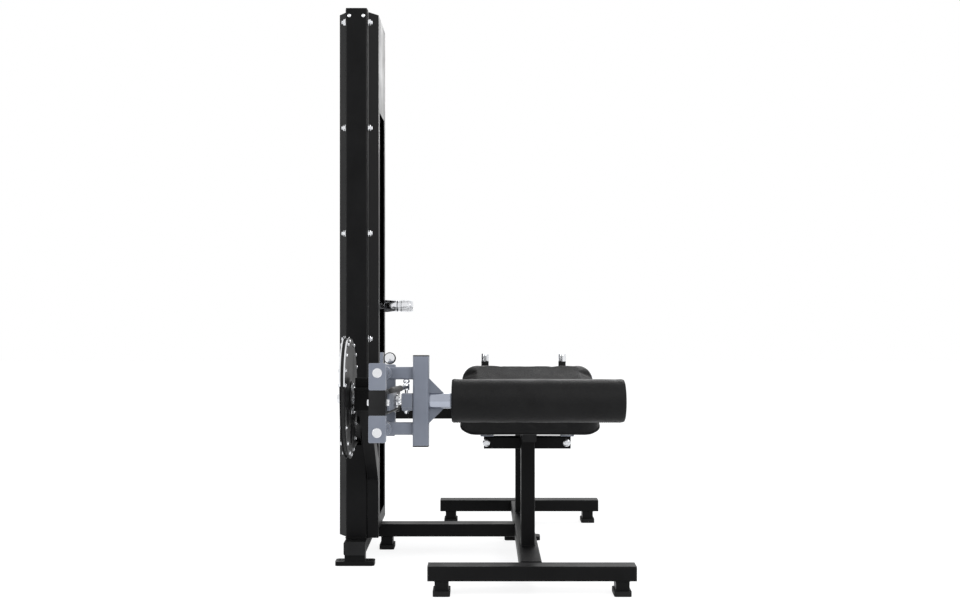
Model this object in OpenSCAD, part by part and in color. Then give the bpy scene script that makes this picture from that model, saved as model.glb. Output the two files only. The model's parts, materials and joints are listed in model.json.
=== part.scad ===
// Prone leg curl machine: weight tower, tented bench and swinging roller arm.
// Millimetres, +Z up. The origin is on the floor at the middle of the tower.
// -Y is the foot end, where the roller is, and +X runs from the tower to the bench.

/* [Tower] */
// Height of the tower's top above the floor
tower_h = 2088; // [2060:1:2200]
// Depth of the tower over both uprights
tower_d = 550; // [540:1:600]
// Width of the tower's frame tubes
frame_w = 80; // [76:1:84]
// Depth of each upright
upright_d = 60; // [50:1:66]
// Width over both covers
cover_w = 150; // [144:1:170]
// Thickness of the cover sheet
sheet_t = 2; // [1.5:0.5:3]
// Length of the tower's base tube
tower_base_l = 698; // [680:1:760]
// Height of the window in the inner cover
window_h = 1567; // [1500:1:1590]
// Width of the window in the inner cover
window_w = 230; // [200:1:250]

/* [Weight stack] */
// Number of plates below the head plate
plate_count = 20; // [16:1:20]
// Thickness of one plate
plate_t = 39; // [36:0.5:39]
// Width of a plate, front to back
plate_w = 300; // [290:1:306]
// Depth of a plate, side to side
plate_d = 100; // [90:1:104]
// Thickness of the head plate
head_plate_t = 45; // [42:1:50]
// Diameter of the guide rods
guide_rod_d = 25; // [20:1:28]
// Distance between the guide rods
guide_rod_gap = 200; // [180:1:216]

/* [Base] */
// Width of the frame tubes
tube_w = 75; // [70:1:80]
// Height of the frame tubes
tube_h = 50; // [46:1:54]
// Wall of the frame tubes
tube_wall = 3; // [2:0.5:4]
// Length of the two crossbars under the bench
crossbar_l = 700; // [640:1:760]
// Distance from the tower's middle to the bench's middle
bench_x = 640; // [620:1:680]
// Length of the bench's base over both crossbars
base_l = 1416; // [1400:1:1480]
// Height of the base tubes above the floor
base_clear = 49; // [44:1:54]

/* [Pads] */
// Width of the thigh pad
thigh_pad_w = 490; // [460:1:500]
// Length of the thigh pad
thigh_pad_l = 352; // [330:1:360]
// Slope of the thigh pad, in degrees
thigh_tilt = 23.5; // [22:0.1:25]
// Width of the torso pad
torso_pad_w = 270; // [250:1:280]
// Length of the torso pad
torso_pad_l = 780; // [740:1:800]
// Slope of the torso pad, in degrees
torso_tilt = 9; // [8:0.5:10]
// Thickness of both pads
pad_t = 88; // [84:1:92]
// Thickness of the boards under the pads
board_t = 15; // [12:1:18]

/* [Roller arm] */
// Height of the arm's pivot above the floor
pivot_z = 648; // [640:1:660]
// Slope of the arm at rest, in degrees
arm_tilt = 3.6; // [3:0.1:4.5]
// Length of the arm from the pivot to its front end
arm_l = 626; // [610:1:650]
// Distance from the pivot to the roller
roller_reach = 314; // [300:1:330]
// Width of the arm tube
arm_w = 50; // [48:1:54]
// Height of the arm tube
arm_h = 75; // [70:1:78]
// Distance between the two slide rods
rod_gap = 176; // [170:1:184]
// Diameter of the slide rods
rod_d = 28; // [24:1:30]
// Height of the carriage's post
post_h = 290; // [270:1:310]
// Diameter of the roller
roller_d = 140; // [130:1:150]
// Length of the roller
roller_l = 555; // [520:1:570]
// Diameter of the roller's shaft
roller_shaft_d = 48; // [44:1:50]
// Radius of the cam's belt groove
cam_r = 190; // [184:1:192]

/* [Hidden] */

black = [0.09, 0.09, 0.095];
blue_grey = [0.55, 0.57, 0.62];
chrome = [0.85, 0.86, 0.88];
rubber = [0.05, 0.05, 0.05];
steel = [0.5, 0.5, 0.52];
leather = [0.07, 0.07, 0.07];

// Clearances
fit = 0.06;
gap = 0.4;
slip = 0.8;

corner_r = 6;
plug_r = 4;
weld_t = 6;
round_fn = 48;
small_fn = 32;

// Tower heights and places
tower_base_z = 41;
tower_base_top = tower_base_z + tube_h;
cap_t = 3;
upright_top = tower_h - cap_t;
upright_y = tower_d / 2 - upright_d / 2;
upright_in = tower_d / 2 - upright_d;
top_beam_h = 50;
top_beam_z = upright_top - top_beam_h;
foot_plate_t = 16;
foot_plate_w = 146;
foot_plate_d = 60;
anchor_x = 57;
anchor_r = 6.5;
foot_y = tower_base_l / 2 - 7 - foot_plate_d / 2;

// Covers
flange_l = 44;
chamfer_l = 52;
link_top = base_clear + tube_h;
inner_cover_z = link_top + 2;
outer_cover_z = 84;
window_z = 150;
bolt_low_z = 440;
bolt_top_gap = 48;
bolt_rows = 5;
bolt_pitch = (tower_h - bolt_top_gap - bolt_low_z) / (bolt_rows - 1);
nut_d = 27;
nut_t = 10;
bolt_r = 6;

// Stack
bumper_h = 69;
bumper_r = 26;
collar_wall = 8;
collar_h = 40;
tongue_w = 32;
tongue_t = 14;
stack_z = tower_base_top + bumper_h;
plate_hole_r = guide_rod_d / 2 + slip;
selector_d = 25;
selector_hole_r = selector_d / 2 + 1.5;
pin_d = 10;
pin_hole_r = pin_d / 2 + 0.3;
pin_slot_h = 12;
head_z = stack_z + plate_count * plate_t + gap;
head_top = head_z + head_plate_t;
pin_z = head_z + head_plate_t / 2;
knob_d = 48;
knob_l = 64;
knob_x = 135;
sleeve_d = 26;

// Pulleys and belt
pulley_r = 38;
flange_r = 43;
pulley_w = 34;
axle_r = 8;
belt_t = 4;
belt_w = 28;
belt_gap = 0.4;
belt_r = pulley_r + belt_gap;
pivot_y = -665;
belt_low_z = pivot_z - cam_r - belt_t - belt_gap;
lower_pulley_z = belt_low_z + belt_r;
belt_rise_gap = 12;
belt_rise_y = belt_rise_gap - upright_in;
lower_pulley_y = belt_rise_y - belt_r;
top_pulley_drop = 75;
top_pulley_z = top_beam_z - top_pulley_drop;
front_top_y = belt_rise_y + belt_t + belt_r;
rear_top_y = -belt_t / 2 - belt_r;
slot_w = 40;
tongue_h = 42;
drop_z = head_top + tongue_h;
rod_end_drop = 110;
rod_top_z = top_pulley_z - rod_end_drop;
rod_plate_t = 10;
cheek_t = 6;
cheek_gap = 2;
cheek_reach = 30;
cheek_h = 24;

// Pivot and arm
arm_x = 163;
shaft_r = 17.5;
housing_x0 = 36;
housing_x1 = 130;
housing_s = 80;
bearing_w = 16;
bearing_r = 31;
cam_w = 40;
cam_plate_t = 5;
cam_plate_r = cam_r + 15;
hub_r = 34;
hub_flange_r = 61;
hub_flange_t = 5;
hub_bolt_r = 49;
strut_w = 40;
strut_x = frame_w / 2 + sheet_t + 0.5;
strut_foot_z = 310;
strut_plate_h = 180;
strut_plate_drop = 150;

// Slide and carriage, measured along the arm from the pivot
yoke_d = 40;
rear_yoke_s = 180;
yoke_h = (post_h - 56 - arm_h) / 2;
sleeve_r = 22;
sleeve_l = 80;
bar_h = 40;
bar_d = 40;
post_x0 = 253;
post_w = 50;
post_d = 75;
index_t = 6;
index_h = 50;
index_pitch = 36;
index_count = 9;
index_start = 230;
index_hole_r = 7.4;
plunger_r = 7;
block_w = 30;
block_h = 48;
block_d = 60;
block_x0 = post_x0 - block_w;
bridge_t = 14;
lever_r = 5;
lever_y = 20;
lever_d = 14;
lever_l = 92;
lever_angle = 18;
roller_x0 = 374;
gusset = 48;
bush_w = 12;

// Base
spine_half = (base_l - 2 * tube_w) / 2;
foot_bar_y = -805;
head_bar_y = foot_bar_y + base_l - tube_w;
foot_offset = 303;
upper_link_z = 540;
rubber_w = 58;
rubber_d = 90;
rubber_h = 17;
bracket_w = 46;
link_foot_x = 97;
spine_foot_y = 168;

// Bench
apex_y = -326;
apex_z = 765;
column_w = 50;
foot_column_y = -455;
cross_y = foot_column_y + tube_w;
head_column_y = 247;
rail_w = 50;
rail_h = 50;
cross_z = 440;
cross_h = 45;
cross_l = 320;
hanger_x = 148;
channel_w = 48;
channel_d = 36;
channel_t = 5;
handle_x = 154;
handle_y = 10;
handle_d = 30;
handle_top = 774;
grip_l = 110;

// Outlines and tubes

module round_rect(w, h, r) {
    square([w - 2 * r, h], center = true);
    square([w, h - 2 * r], center = true);
    for (x = [-1, 1], y = [-1, 1])
        translate([x * (w / 2 - r), y * (h / 2 - r)]) circle(r, $fn = small_fn);
}

module tube_outline(w, h, wall, r = corner_r) {
    difference() {
        round_rect(w, h, r);
        round_rect(w - 2 * wall, h - 2 * wall, r - wall + 1);
    }
}

// Tube along X: w is its size in Y, h its size in Z
module tube_x(l, w, h, wall = tube_wall) {
    rotate([90, 0, 90]) linear_extrude(l) tube_outline(w, h, wall);
}

// Tube along Y: w is its size in X, h its size in Z
module tube_y(l, w, h, wall = tube_wall) {
    rotate([-90, 0, 0]) linear_extrude(l) tube_outline(w, h, wall);
}

// Tube along Z: w is its size in X, d its size in Y
module tube_z(l, w, d, wall = tube_wall) {
    linear_extrude(l) tube_outline(w, d, wall);
}

module along_x(x, y, z) {
    translate([x, y, z]) rotate([0, 90, 0]) children();
}

module at_arm() {
    translate([0, pivot_y, pivot_z]) rotate([-arm_tilt, 0, 0]) children();
}

// Cushion: stacked rings of a rounded rectangle with drawn-in sides and a crowned top
function arc_pts(cx, cy, r, a0, n) =
    [for (i = [0:n]) [cx + r * cos(a0 + 90 * i / n), cy + r * sin(a0 + 90 * i / n)]];

function side_pts(a, b, nx, ny, pull, n) =
    [for (i = [1:n - 1])
        let (t = i / n, p = pull * 4 * t * (1 - t))
        [a[0] + (b[0] - a[0]) * t + nx * p, a[1] + (b[1] - a[1]) * t + ny * p]];

function ring_pts(l, w, r, pull) =
    let (hx = w / 2, hy = l / 2,
         c1 = arc_pts(hx - r, hy - r, r, 0, 4), c2 = arc_pts(r - hx, hy - r, r, 90, 4),
         c3 = arc_pts(r - hx, r - hy, r, 180, 4), c4 = arc_pts(hx - r, r - hy, r, 270, 4))
    concat(c1, side_pts(c1[4], c2[0], 0, -1, pull, 6),
           c2, side_pts(c2[4], c3[0], 1, 0, pull, 6),
           c3, side_pts(c3[4], c4[0], 0, 1, pull, 6),
           c4, side_pts(c4[4], c1[0], -1, 0, pull, 6));

edge_r = 38;
plan_r = 60;
crown = 5;
side_pull = 3;

// Each ring: [inset from the outline, height, share of the side pull]
function cushion_rings(t) = concat(
    [[10, 0, 0.4]],
    [for (i = [1:4]) let (a = i * 22.5) [10 * (1 - sin(a)), 14 * (1 - cos(a)), 1]],
    [for (i = [0:5]) let (a = i * 18) [edge_r * (1 - cos(a)), t - crown - edge_r * (1 - sin(a)), 1]],
    [for (i = [1:3]) [edge_r + i * 26, t - crown + crown * sin(i * 30), 0.5]]);

module cushion(w, l, t) {
    rings = cushion_rings(t);
    rows = [for (g = rings)
        ring_pts(l - 2 * g[0], w - 2 * g[0], max(plan_r - g[0], 18), side_pull * g[2])];
    n = len(rows[0]);
    m = len(rings);
    pts = concat([for (k = [0:m - 1], p = rows[k]) [p[0], p[1], rings[k][1]]],
                 [[0, 0, 0], [0, 0, t]]);
    walls = [for (k = [0:m - 2], i = [0:n - 1])
        let (j = (i + 1) % n, a = k * n + i, b = k * n + j)
        each [[a, a + n, b + n], [a, b + n, b]]];
    under = [for (i = [0:n - 1]) [n * m, i, (i + 1) % n]];
    over = [for (i = [0:n - 1]) [n * m + 1, (m - 1) * n + (i + 1) % n, (m - 1) * n + i]];
    polyhedron(points = pts, faces = concat(walls, under, over));
}

// Tower

module tower_base_tube() {
    color(black)
        translate([0, -tower_base_l / 2 + 4, tower_base_z + tube_h / 2])
            tube_y(tower_base_l - 8, frame_w, tube_h);
}

module tower_feet() {
    color(black)
        for (s = [-1, 1]) translate([0, s * foot_y, 0]) {
            difference() {
                linear_extrude(foot_plate_t) round_rect(foot_plate_w, foot_plate_d, 12);
                for (x = [-anchor_x, anchor_x])
                    translate([x, 0, -1]) cylinder(r = anchor_r, h = foot_plate_t + 2, $fn = round_fn);
            }
            translate([0, 0, foot_plate_t])
                linear_extrude(tower_base_z - foot_plate_t)
                    round_rect(frame_w - 4, foot_plate_d - 8, 4);
        }
}

module upright(y) {
    translate([0, y, tower_base_top]) tube_z(upright_top - tower_base_top, frame_w, upright_d);
}

module upright_bolt_holes(y) {
    for (i = [0:bolt_rows - 1])
        along_x(-frame_w, y, bolt_low_z + i * bolt_pitch)
            cylinder(r = bolt_r, h = 2 * frame_w, $fn = small_fn);
}

module front_upright() {
    color(black) difference() {
        upright(-upright_y);
        upright_bolt_holes(-upright_y);
        // Slot for the lower pulley and the belt
        translate([-slot_w / 2, -tower_d / 2 - 1, belt_low_z - 14])
            cube([slot_w, upright_d + 2, 2 * flange_r + 24]);
        along_x(-frame_w, lower_pulley_y, lower_pulley_z)
            cylinder(r = axle_r, h = 2 * frame_w, $fn = round_fn);
    }
}

module rear_upright() {
    color(black) difference() {
        upright(upright_y);
        upright_bolt_holes(upright_y);
    }
}

module top_beam() {
    color(black) {
        translate([0, 0, upright_top]) linear_extrude(cap_t) round_rect(frame_w, tower_d, corner_r);
        translate([0, -upright_in, top_beam_z + top_beam_h / 2])
            tube_y(2 * upright_in, frame_w, top_beam_h);
        // Side cheeks that carry the top pulleys
        for (x = [-1, 1]) difference() {
            translate([x * (pulley_w + cheek_t + 2 * cheek_gap) / 2 - cheek_t / 2,
                       front_top_y - cheek_reach, top_pulley_z - cheek_h])
                cube([cheek_t, rear_top_y - front_top_y + 2 * cheek_reach,
                      top_beam_z - top_pulley_z + cheek_h]);
            for (y = [front_top_y, rear_top_y])
                along_x(-frame_w, y, top_pulley_z)
                    cylinder(r = axle_r, h = 2 * frame_w, $fn = round_fn);
        }
        // Plate over the guide rods' tops, open where the belt passes
        translate([0, 0, rod_top_z]) linear_extrude(rod_plate_t) difference() {
            square([frame_w - 2 * corner_r, 2 * upright_in], center = true);
            for (y = [belt_rise_y + belt_t / 2, 0])
                translate([0, y]) square([belt_w + 6, 3 * belt_t], center = true);
            at_rods() circle(r = 6, $fn = small_fn);
        }
    }
}

// Half of a cover's outline on the +X side, seen from above
function cover_line(x0, x1) = [
    [x0, -upright_in - flange_l], [x0, -upright_in], [x1, -upright_in + chamfer_l],
    [x1, upright_in - chamfer_l], [x0, upright_in], [x0, upright_in + flange_l]
];

module cover_shell(z0) {
    face = frame_w / 2;
    side = cover_w / 2;
    outer = cover_line(face + sheet_t, side);
    inner = cover_line(face, side - sheet_t);
    back = [for (i = [len(inner) - 1:-1:0]) inner[i]];
    translate([0, 0, z0]) linear_extrude(tower_h - z0 - 2) polygon(concat(outer, back));
    translate([0, 0, tower_h - 2 - sheet_t])
        linear_extrude(sheet_t)
            polygon([[face, -upright_in], [side - 1, -upright_in + chamfer_l + 1],
                     [side - 1, upright_in - chamfer_l - 1], [face, upright_in]]);
}

module bolt_holes() {
    for (i = [0:bolt_rows - 1], s = [-1, 1])
        along_x(frame_w / 2 - 6, s * upright_y, bolt_low_z + i * bolt_pitch)
            cylinder(r = bolt_r, h = 20, $fn = small_fn);
}

module outer_cover() {
    color(black) mirror([1, 0, 0]) difference() {
        cover_shell(outer_cover_z);
        bolt_holes();
    }
}

module inner_cover() {
    color(black) difference() {
        cover_shell(inner_cover_z);
        translate([cover_w / 2 - 10, -window_w / 2, window_z]) cube([20, window_w, window_h]);
        bolt_holes();
    }
}

// One bolt through the cover's flange, lying along +X
module cover_bolt() {
    along_x(frame_w / 2 - 14, 0, 0) cylinder(r = bolt_r, h = 15 + sheet_t, $fn = small_fn);
    along_x(frame_w / 2 + sheet_t, 0, 0) {
        cylinder(r = nut_d / 2, h = 3, $fn = small_fn);
        cylinder(r = nut_d / 2 - 2, h = nut_t, $fn = 6);
        cylinder(r = 7, h = nut_t + 7, $fn = small_fn);
    }
}

// Button screw on a face, pointing along +Z
module button_screw() {
    rotate_extrude($fn = small_fn) polygon([[0, 0], [6.5, 0], [5.2, 2.6], [0, 3.2]]);
}

// Bolt through the crossbar and a hanger, with its head toward the foot end
module crossbar_bolt() {
    translate([0, 0, -8]) cylinder(r = 14, h = 8, $fn = round_fn);
    cylinder(r = 6, h = cross_h, $fn = round_fn);
    translate([0, 0, cross_h]) cylinder(r = 11, h = 10, $fn = 6);
}

module frame_bolts() {
    color(chrome) {
        for (m = [0, 1], i = [0:bolt_rows - 1], s = [-1, 1])
            mirror([m, 0, 0])
                translate([0, s * upright_y, bolt_low_z + i * bolt_pitch]) cover_bolt();
        for (x = [-26.5, 26.5], s = [-1, 1])
            translate([x, s * tower_d / 2, tower_h - 29]) rotate([s * -90, 0, 0]) button_screw();
        for (s = [-1, 1]) translate([bench_x + s * hanger_x, cross_y, cross_z + cross_h / 2])
            rotate([-90, 0, 0]) crossbar_bolt();
    }
}

// Weight stack

module at_rods() {
    for (s = [-1, 1]) translate([0, s * guide_rod_gap / 2, 0]) children();
}

module guide_rods() {
    color(chrome) at_rods()
        translate([0, 0, tower_base_top])
            cylinder(d = guide_rod_d, h = rod_top_z - tower_base_top, $fn = round_fn);
}

module plate_blank(t) {
    linear_extrude(t) difference() {
        round_rect(plate_d, plate_w, 8);
        at_rods() circle(r = plate_hole_r, $fn = round_fn);
        circle(r = selector_hole_r, $fn = round_fn);
    }
}

module weight_plates() {
    color(steel)
        for (i = [0:plate_count - 1]) translate([0, 0, stack_z + i * plate_t]) difference() {
            plate_blank(plate_t);
            // Groove for the selector pin
            translate([-plate_d, -pin_slot_h / 2, plate_t - pin_slot_h])
                cube([2 * plate_d, pin_slot_h, pin_slot_h + 1]);
        }
}

module stack_bumpers() {
    color(rubber) at_rods()
        translate([0, 0, tower_base_top]) difference() {
            cylinder(r = bumper_r, h = bumper_h, $fn = round_fn);
            translate([0, 0, -1])
                cylinder(r = guide_rod_d / 2 + 0.1, h = bumper_h + 2, $fn = round_fn);
        }
}

module head_plate() {
    color(steel) {
        difference() {
            translate([0, 0, head_z]) linear_extrude(head_plate_t) difference() {
                round_rect(plate_d, plate_w, 8);
                at_rods() circle(r = plate_hole_r, $fn = round_fn);
                circle(d = selector_d, $fn = round_fn);
            }
            along_x(-plate_d, 0, pin_z) cylinder(r = pin_hole_r, h = 2 * plate_d, $fn = small_fn);
        }
        // Collars that slide on the guide rods
        at_rods() translate([0, 0, head_top]) difference() {
            cylinder(d = guide_rod_d + 2 * collar_wall, h = collar_h, $fn = round_fn);
            translate([0, 0, -1]) cylinder(r = plate_hole_r, h = collar_h + 2, $fn = round_fn);
        }
    }
}

module selector_rod() {
    color(chrome) difference() {
        union() {
            translate([0, 0, stack_z]) cylinder(d = selector_d, h = head_top - stack_z, $fn = round_fn);
            translate([-tongue_w / 2, -tongue_t / 2, head_top])
                cube([tongue_w, tongue_t, drop_z - head_top - gap]);
        }
        for (i = [0:plate_count - 1])
            along_x(-selector_d, 0, stack_z + (i + 1) * plate_t - pin_slot_h / 2)
                cylinder(r = pin_hole_r, h = 2 * selector_d, $fn = small_fn);
        along_x(-selector_d, 0, pin_z) cylinder(r = pin_hole_r, h = 2 * selector_d, $fn = small_fn);
    }
}

// Grip with ridges round it, one long part and two short ones
module knob_profile() {
    r = knob_d / 2;
    polygon([[0, 0], [r - 3, 0], [r, 3], [r, 18], [r - 2, 20], [r - 2, 26], [r, 28], [r, 35],
             [r - 2, 37], [r - 2, 43], [r, 45], [r, knob_l - 3], [r - 3, knob_l], [0, knob_l]]);
}

module selector_pin() {
    color(chrome) {
        along_x(-20, 0, pin_z) cylinder(d = pin_d, h = knob_x + 21, $fn = small_fn);
        along_x(plate_d / 2 + gap, 0, pin_z)
            cylinder(d = sleeve_d, h = knob_x - plate_d / 2 - gap, $fn = round_fn);
        along_x(knob_x, 0, pin_z) rotate_extrude($fn = round_fn) knob_profile();
    }
}

// Pulleys and belt

module pulley_profile() {
    w = pulley_w / 2;
    r0 = axle_r + fit;
    polygon([[r0, -w], [flange_r, -w], [flange_r, -w + 2], [pulley_r, -w + 2.5],
             [pulley_r, w - 2.5], [flange_r, w - 2], [flange_r, w], [r0, w]]);
}

module pulley(y, z) {
    color(black) along_x(0, y, z) difference() {
        rotate_extrude($fn = round_fn) pulley_profile();
        for (a = [0:60:300]) rotate(a)
            translate([23, 0, -pulley_w]) cylinder(r = 6, h = 2 * pulley_w, $fn = small_fn);
    }
}

module lower_pulley() { pulley(lower_pulley_y, lower_pulley_z); }
module front_top_pulley() { pulley(front_top_y, top_pulley_z); }
module rear_top_pulley() { pulley(rear_top_y, top_pulley_z); }

module pulley_axles() {
    color(chrome) {
        along_x(-frame_w / 2, lower_pulley_y, lower_pulley_z)
            cylinder(r = axle_r, h = frame_w, $fn = round_fn);
        for (y = [front_top_y, rear_top_y])
            along_x(-pulley_w / 2 - 12, y, top_pulley_z)
                cylinder(r = axle_r, h = pulley_w + 24, $fn = round_fn);
    }
}

module belt_strip(y0, z0, y1, z1) {
    translate([-belt_w / 2, y0, z0]) cube([belt_w, y1 - y0, z1 - z0]);
}

// Quarter wrap round a pulley; qy and qz pick the quarter
module belt_quarter(y, z, qy, qz) {
    intersection() {
        along_x(-belt_w / 2, y, z) difference() {
            cylinder(r = belt_r + belt_t, h = belt_w, $fn = round_fn);
            translate([0, 0, -1]) cylinder(r = belt_r, h = belt_w + 2, $fn = round_fn);
        }
        translate([-belt_w, qy > 0 ? y : y - 2 * belt_r, qz > 0 ? z : z - 2 * belt_r])
            cube([2 * belt_w, 2 * belt_r, 2 * belt_r]);
    }
}

module lift_belt() {
    top_z = top_pulley_z + belt_r;
    color(black) {
        belt_strip(pivot_y, belt_low_z - belt_t, lower_pulley_y, belt_low_z);
        belt_quarter(lower_pulley_y, lower_pulley_z, 1, -1);
        belt_strip(belt_rise_y, lower_pulley_z, belt_rise_y + belt_t, top_pulley_z);
        belt_quarter(front_top_y, top_pulley_z, -1, 1);
        belt_strip(front_top_y, top_z, rear_top_y, top_z + belt_t);
        belt_quarter(rear_top_y, top_pulley_z, 1, 1);
    }
}

module belt_drop() {
    color(black) belt_strip(-belt_t / 2, drop_z, belt_t / 2, top_pulley_z);
}

// Pivot

module pivot_strut() {
    // Post on the upright's side, then a strut that rises forward to the housing
    color(black) {
        h = strut_foot_z - tower_base_top;
        translate([strut_x + strut_w / 2, -upright_y - 8, tower_base_top + h / 2])
            cube([strut_w, 38, h], center = true);
        rotate([90, 0, 90]) translate([0, 0, strut_x])
            linear_extrude(strut_w) polygon([
                [-upright_y - 27, strut_foot_z], [-upright_y + 11, strut_foot_z],
                [-upright_y + 11, strut_foot_z + 60], [pivot_y + housing_s / 2, pivot_z + 36],
                [pivot_y + housing_s / 2, pivot_z - 40]]);
        // Fixing plate on the upright's side face
        translate([frame_w / 2, -upright_in - flange_l - 9, strut_foot_z - strut_plate_drop])
            cube([strut_x - frame_w / 2, 8, strut_plate_h]);
    }
}

module bearing_housing() {
    top = housing_s / 2;
    color(black) difference() {
        union() {
            along_x(housing_x0, pivot_y, pivot_z)
                linear_extrude(housing_x1 - housing_x0) round_rect(housing_s, housing_s, 8);
            // Rib with a round bar along its top
            translate([housing_x0, pivot_y - 9, pivot_z + top - 1])
                cube([housing_x1 - housing_x0, 18, 22]);
            along_x(housing_x0, pivot_y, pivot_z + top + 24)
                cylinder(r = 9, h = housing_x1 - housing_x0, $fn = round_fn);
        }
        along_x(housing_x0 - 1, pivot_y, pivot_z)
            cylinder(r = shaft_r + 3, h = housing_x1 - housing_x0 + 2, $fn = round_fn);
        for (x = [housing_x0 - 1, housing_x1 - bearing_w])
            along_x(x, pivot_y, pivot_z) cylinder(r = bearing_r, h = bearing_w + 1, $fn = round_fn);
    }
}

module pivot_bearings() {
    color(steel)
        for (x = [housing_x0, housing_x1 - bearing_w])
            along_x(x, pivot_y, pivot_z) difference() {
                cylinder(r = bearing_r, h = bearing_w, $fn = round_fn);
                translate([0, 0, -1]) cylinder(r = shaft_r + fit, h = bearing_w + 2, $fn = round_fn);
            }
}

module pivot_shaft() {
    color(chrome) {
        along_x(-cam_w / 2 - 14, pivot_y, pivot_z)
            cylinder(r = shaft_r, h = arm_x + arm_w / 2 + cam_w / 2 + 14, $fn = round_fn);
        // Nut that holds the cam on the shaft
        along_x(-cam_w / 2 - 24, pivot_y, pivot_z) cylinder(r = 26, h = 10, $fn = 6);
    }
}

// Cam: two plates with a groove between them
module cam() {
    color(black) along_x(0, pivot_y, pivot_z) difference() {
        union() {
            for (s = [-1, 1]) translate([0, 0, s * (cam_w - cam_plate_t) / 2])
                cylinder(r = cam_plate_r, h = cam_plate_t, center = true, $fn = 96);
            difference() {
                cylinder(r = cam_r, h = cam_w - 2, center = true, $fn = 96);
                cylinder(r = cam_r - 12, h = cam_w, center = true, $fn = 96);
            }
            cylinder(r = hub_r, h = cam_w, center = true, $fn = round_fn);
            cylinder(r = hub_flange_r, h = cam_w + 2 * hub_flange_t, center = true, $fn = round_fn);
        }
        cylinder(r = shaft_r, h = 2 * cam_w, center = true, $fn = round_fn);
        // Lightening windows between hub and rim
        for (a = [0:72:288]) rotate(a)
            translate([105, 0, 0]) cylinder(r = 42, h = 2 * cam_w, center = true, $fn = round_fn);
    }
}

module cam_bolts() {
    color(chrome) along_x(0, pivot_y, pivot_z)
        for (a = [20:24:356]) rotate(a) translate([cam_r - 6, 0, 0])
            for (s = [-1, 1]) translate([0, 0, s * (cam_w / 2 + 3)])
                cylinder(r = 6, h = 6, center = true, $fn = 6);
    // Larger bolts through the hub's flanges
    color(chrome) along_x(0, pivot_y, pivot_z)
        for (a = [35, 145, 215, 325]) rotate(a) translate([hub_bolt_r, 0, 0])
            for (s = [-1, 1]) translate([0, 0, s * (cam_w / 2 + hub_flange_t + 4)])
                cylinder(r = 9, h = 8, center = true, $fn = 6);
}

module cam_belt() {
    color(black) along_x(-belt_w / 2 + 2, pivot_y, pivot_z) difference() {
        cylinder(r = cam_r + belt_t, h = belt_w - 4, $fn = 96);
        translate([0, 0, -1]) cylinder(r = cam_r, h = belt_w, $fn = 96);
    }
}

// Arm, in its own frame: the pivot at the origin and the arm along -Y

module arm_tube() {
    color(black) at_arm() {
        translate([arm_x, -arm_l + 4, 0]) tube_y(arm_l - 4 - housing_s / 2, arm_w, arm_h);
        // Hub round the shaft
        along_x(arm_x - arm_w / 2, 0, 0) difference() {
            cylinder(r = 44, h = arm_w, $fn = round_fn);
            translate([0, 0, -1]) cylinder(r = shaft_r, h = arm_w + 2, $fn = round_fn);
        }
    }
}

module arm_caps() {
    color(black) at_arm() translate([arm_x, -arm_l, 0]) rotate([-90, 0, 0]) {
        linear_extrude(4) round_rect(arm_w, arm_h, corner_r);
        linear_extrude(14)
            round_rect(arm_w - 2 * tube_wall - gap, arm_h - 2 * tube_wall - gap, plug_r);
    }
}

// One pair of blocks that holds the slide rods; s is its rear face
module yoke(s) {
    for (u = [-1, 1]) translate([arm_x, -s, u * (arm_h + yoke_h) / 2]) difference() {
        rotate([90, 0, 0]) linear_extrude(yoke_d) round_rect(arm_w, yoke_h, 4);
        translate([0, 1, u * (rod_gap - arm_h - yoke_h) / 2])
            rotate([90, 0, 0]) cylinder(d = rod_d, h = yoke_d + 2, $fn = round_fn);
    }
}

module slide_yokes() {
    color(blue_grey) at_arm() {
        yoke(arm_l - yoke_d);
        yoke(rear_yoke_s);
        translate([arm_x - arm_w / 2, -rear_yoke_s - yoke_d, post_h / 2 - 29]) cube([10, yoke_d, 40]);
    }
}

module slide_rods() {
    color(chrome) at_arm()
        for (u = [-1, 1]) translate([arm_x, -rear_yoke_s + 3, u * rod_gap / 2])
            rotate([90, 0, 0]) {
                cylinder(d = rod_d, h = arm_l - rear_yoke_s + 4, $fn = round_fn);
                translate([0, 0, arm_l - rear_yoke_s + 4])
                    cylinder(d1 = rod_d, d2 = rod_d - 3, h = 1.5, $fn = round_fn);
            }
}

// Round bumper on top of the rear yoke, with a chrome face toward the foot end
module stop_bumper() {
    r = 20;
    color(rubber) at_arm()
        translate([arm_x + 6, -rear_yoke_s, post_h / 2 - 28 + r]) rotate([90, 0, 0])
            rotate_extrude($fn = round_fn)
                polygon([[0, 4], [r - 3, 4], [r, 7], [r, yoke_d - 6], [r - 3, yoke_d - 3], [0, yoke_d - 3]]);
}

module index_bar() {
    color(blue_grey) at_arm() difference() {
        translate([arm_x + arm_w / 2, -index_start - index_count * index_pitch, -index_h / 2])
            cube([index_t, index_count * index_pitch, index_h]);
        for (i = [0:index_count - 1])
            along_x(arm_x, -roller_reach - (i - 2) * index_pitch, 0)
                cylinder(r = index_hole_r, h = arm_w, $fn = small_fn);
    }
}

// Carriage: sleeves on the rods, two bars and a post that carries the roller

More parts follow.
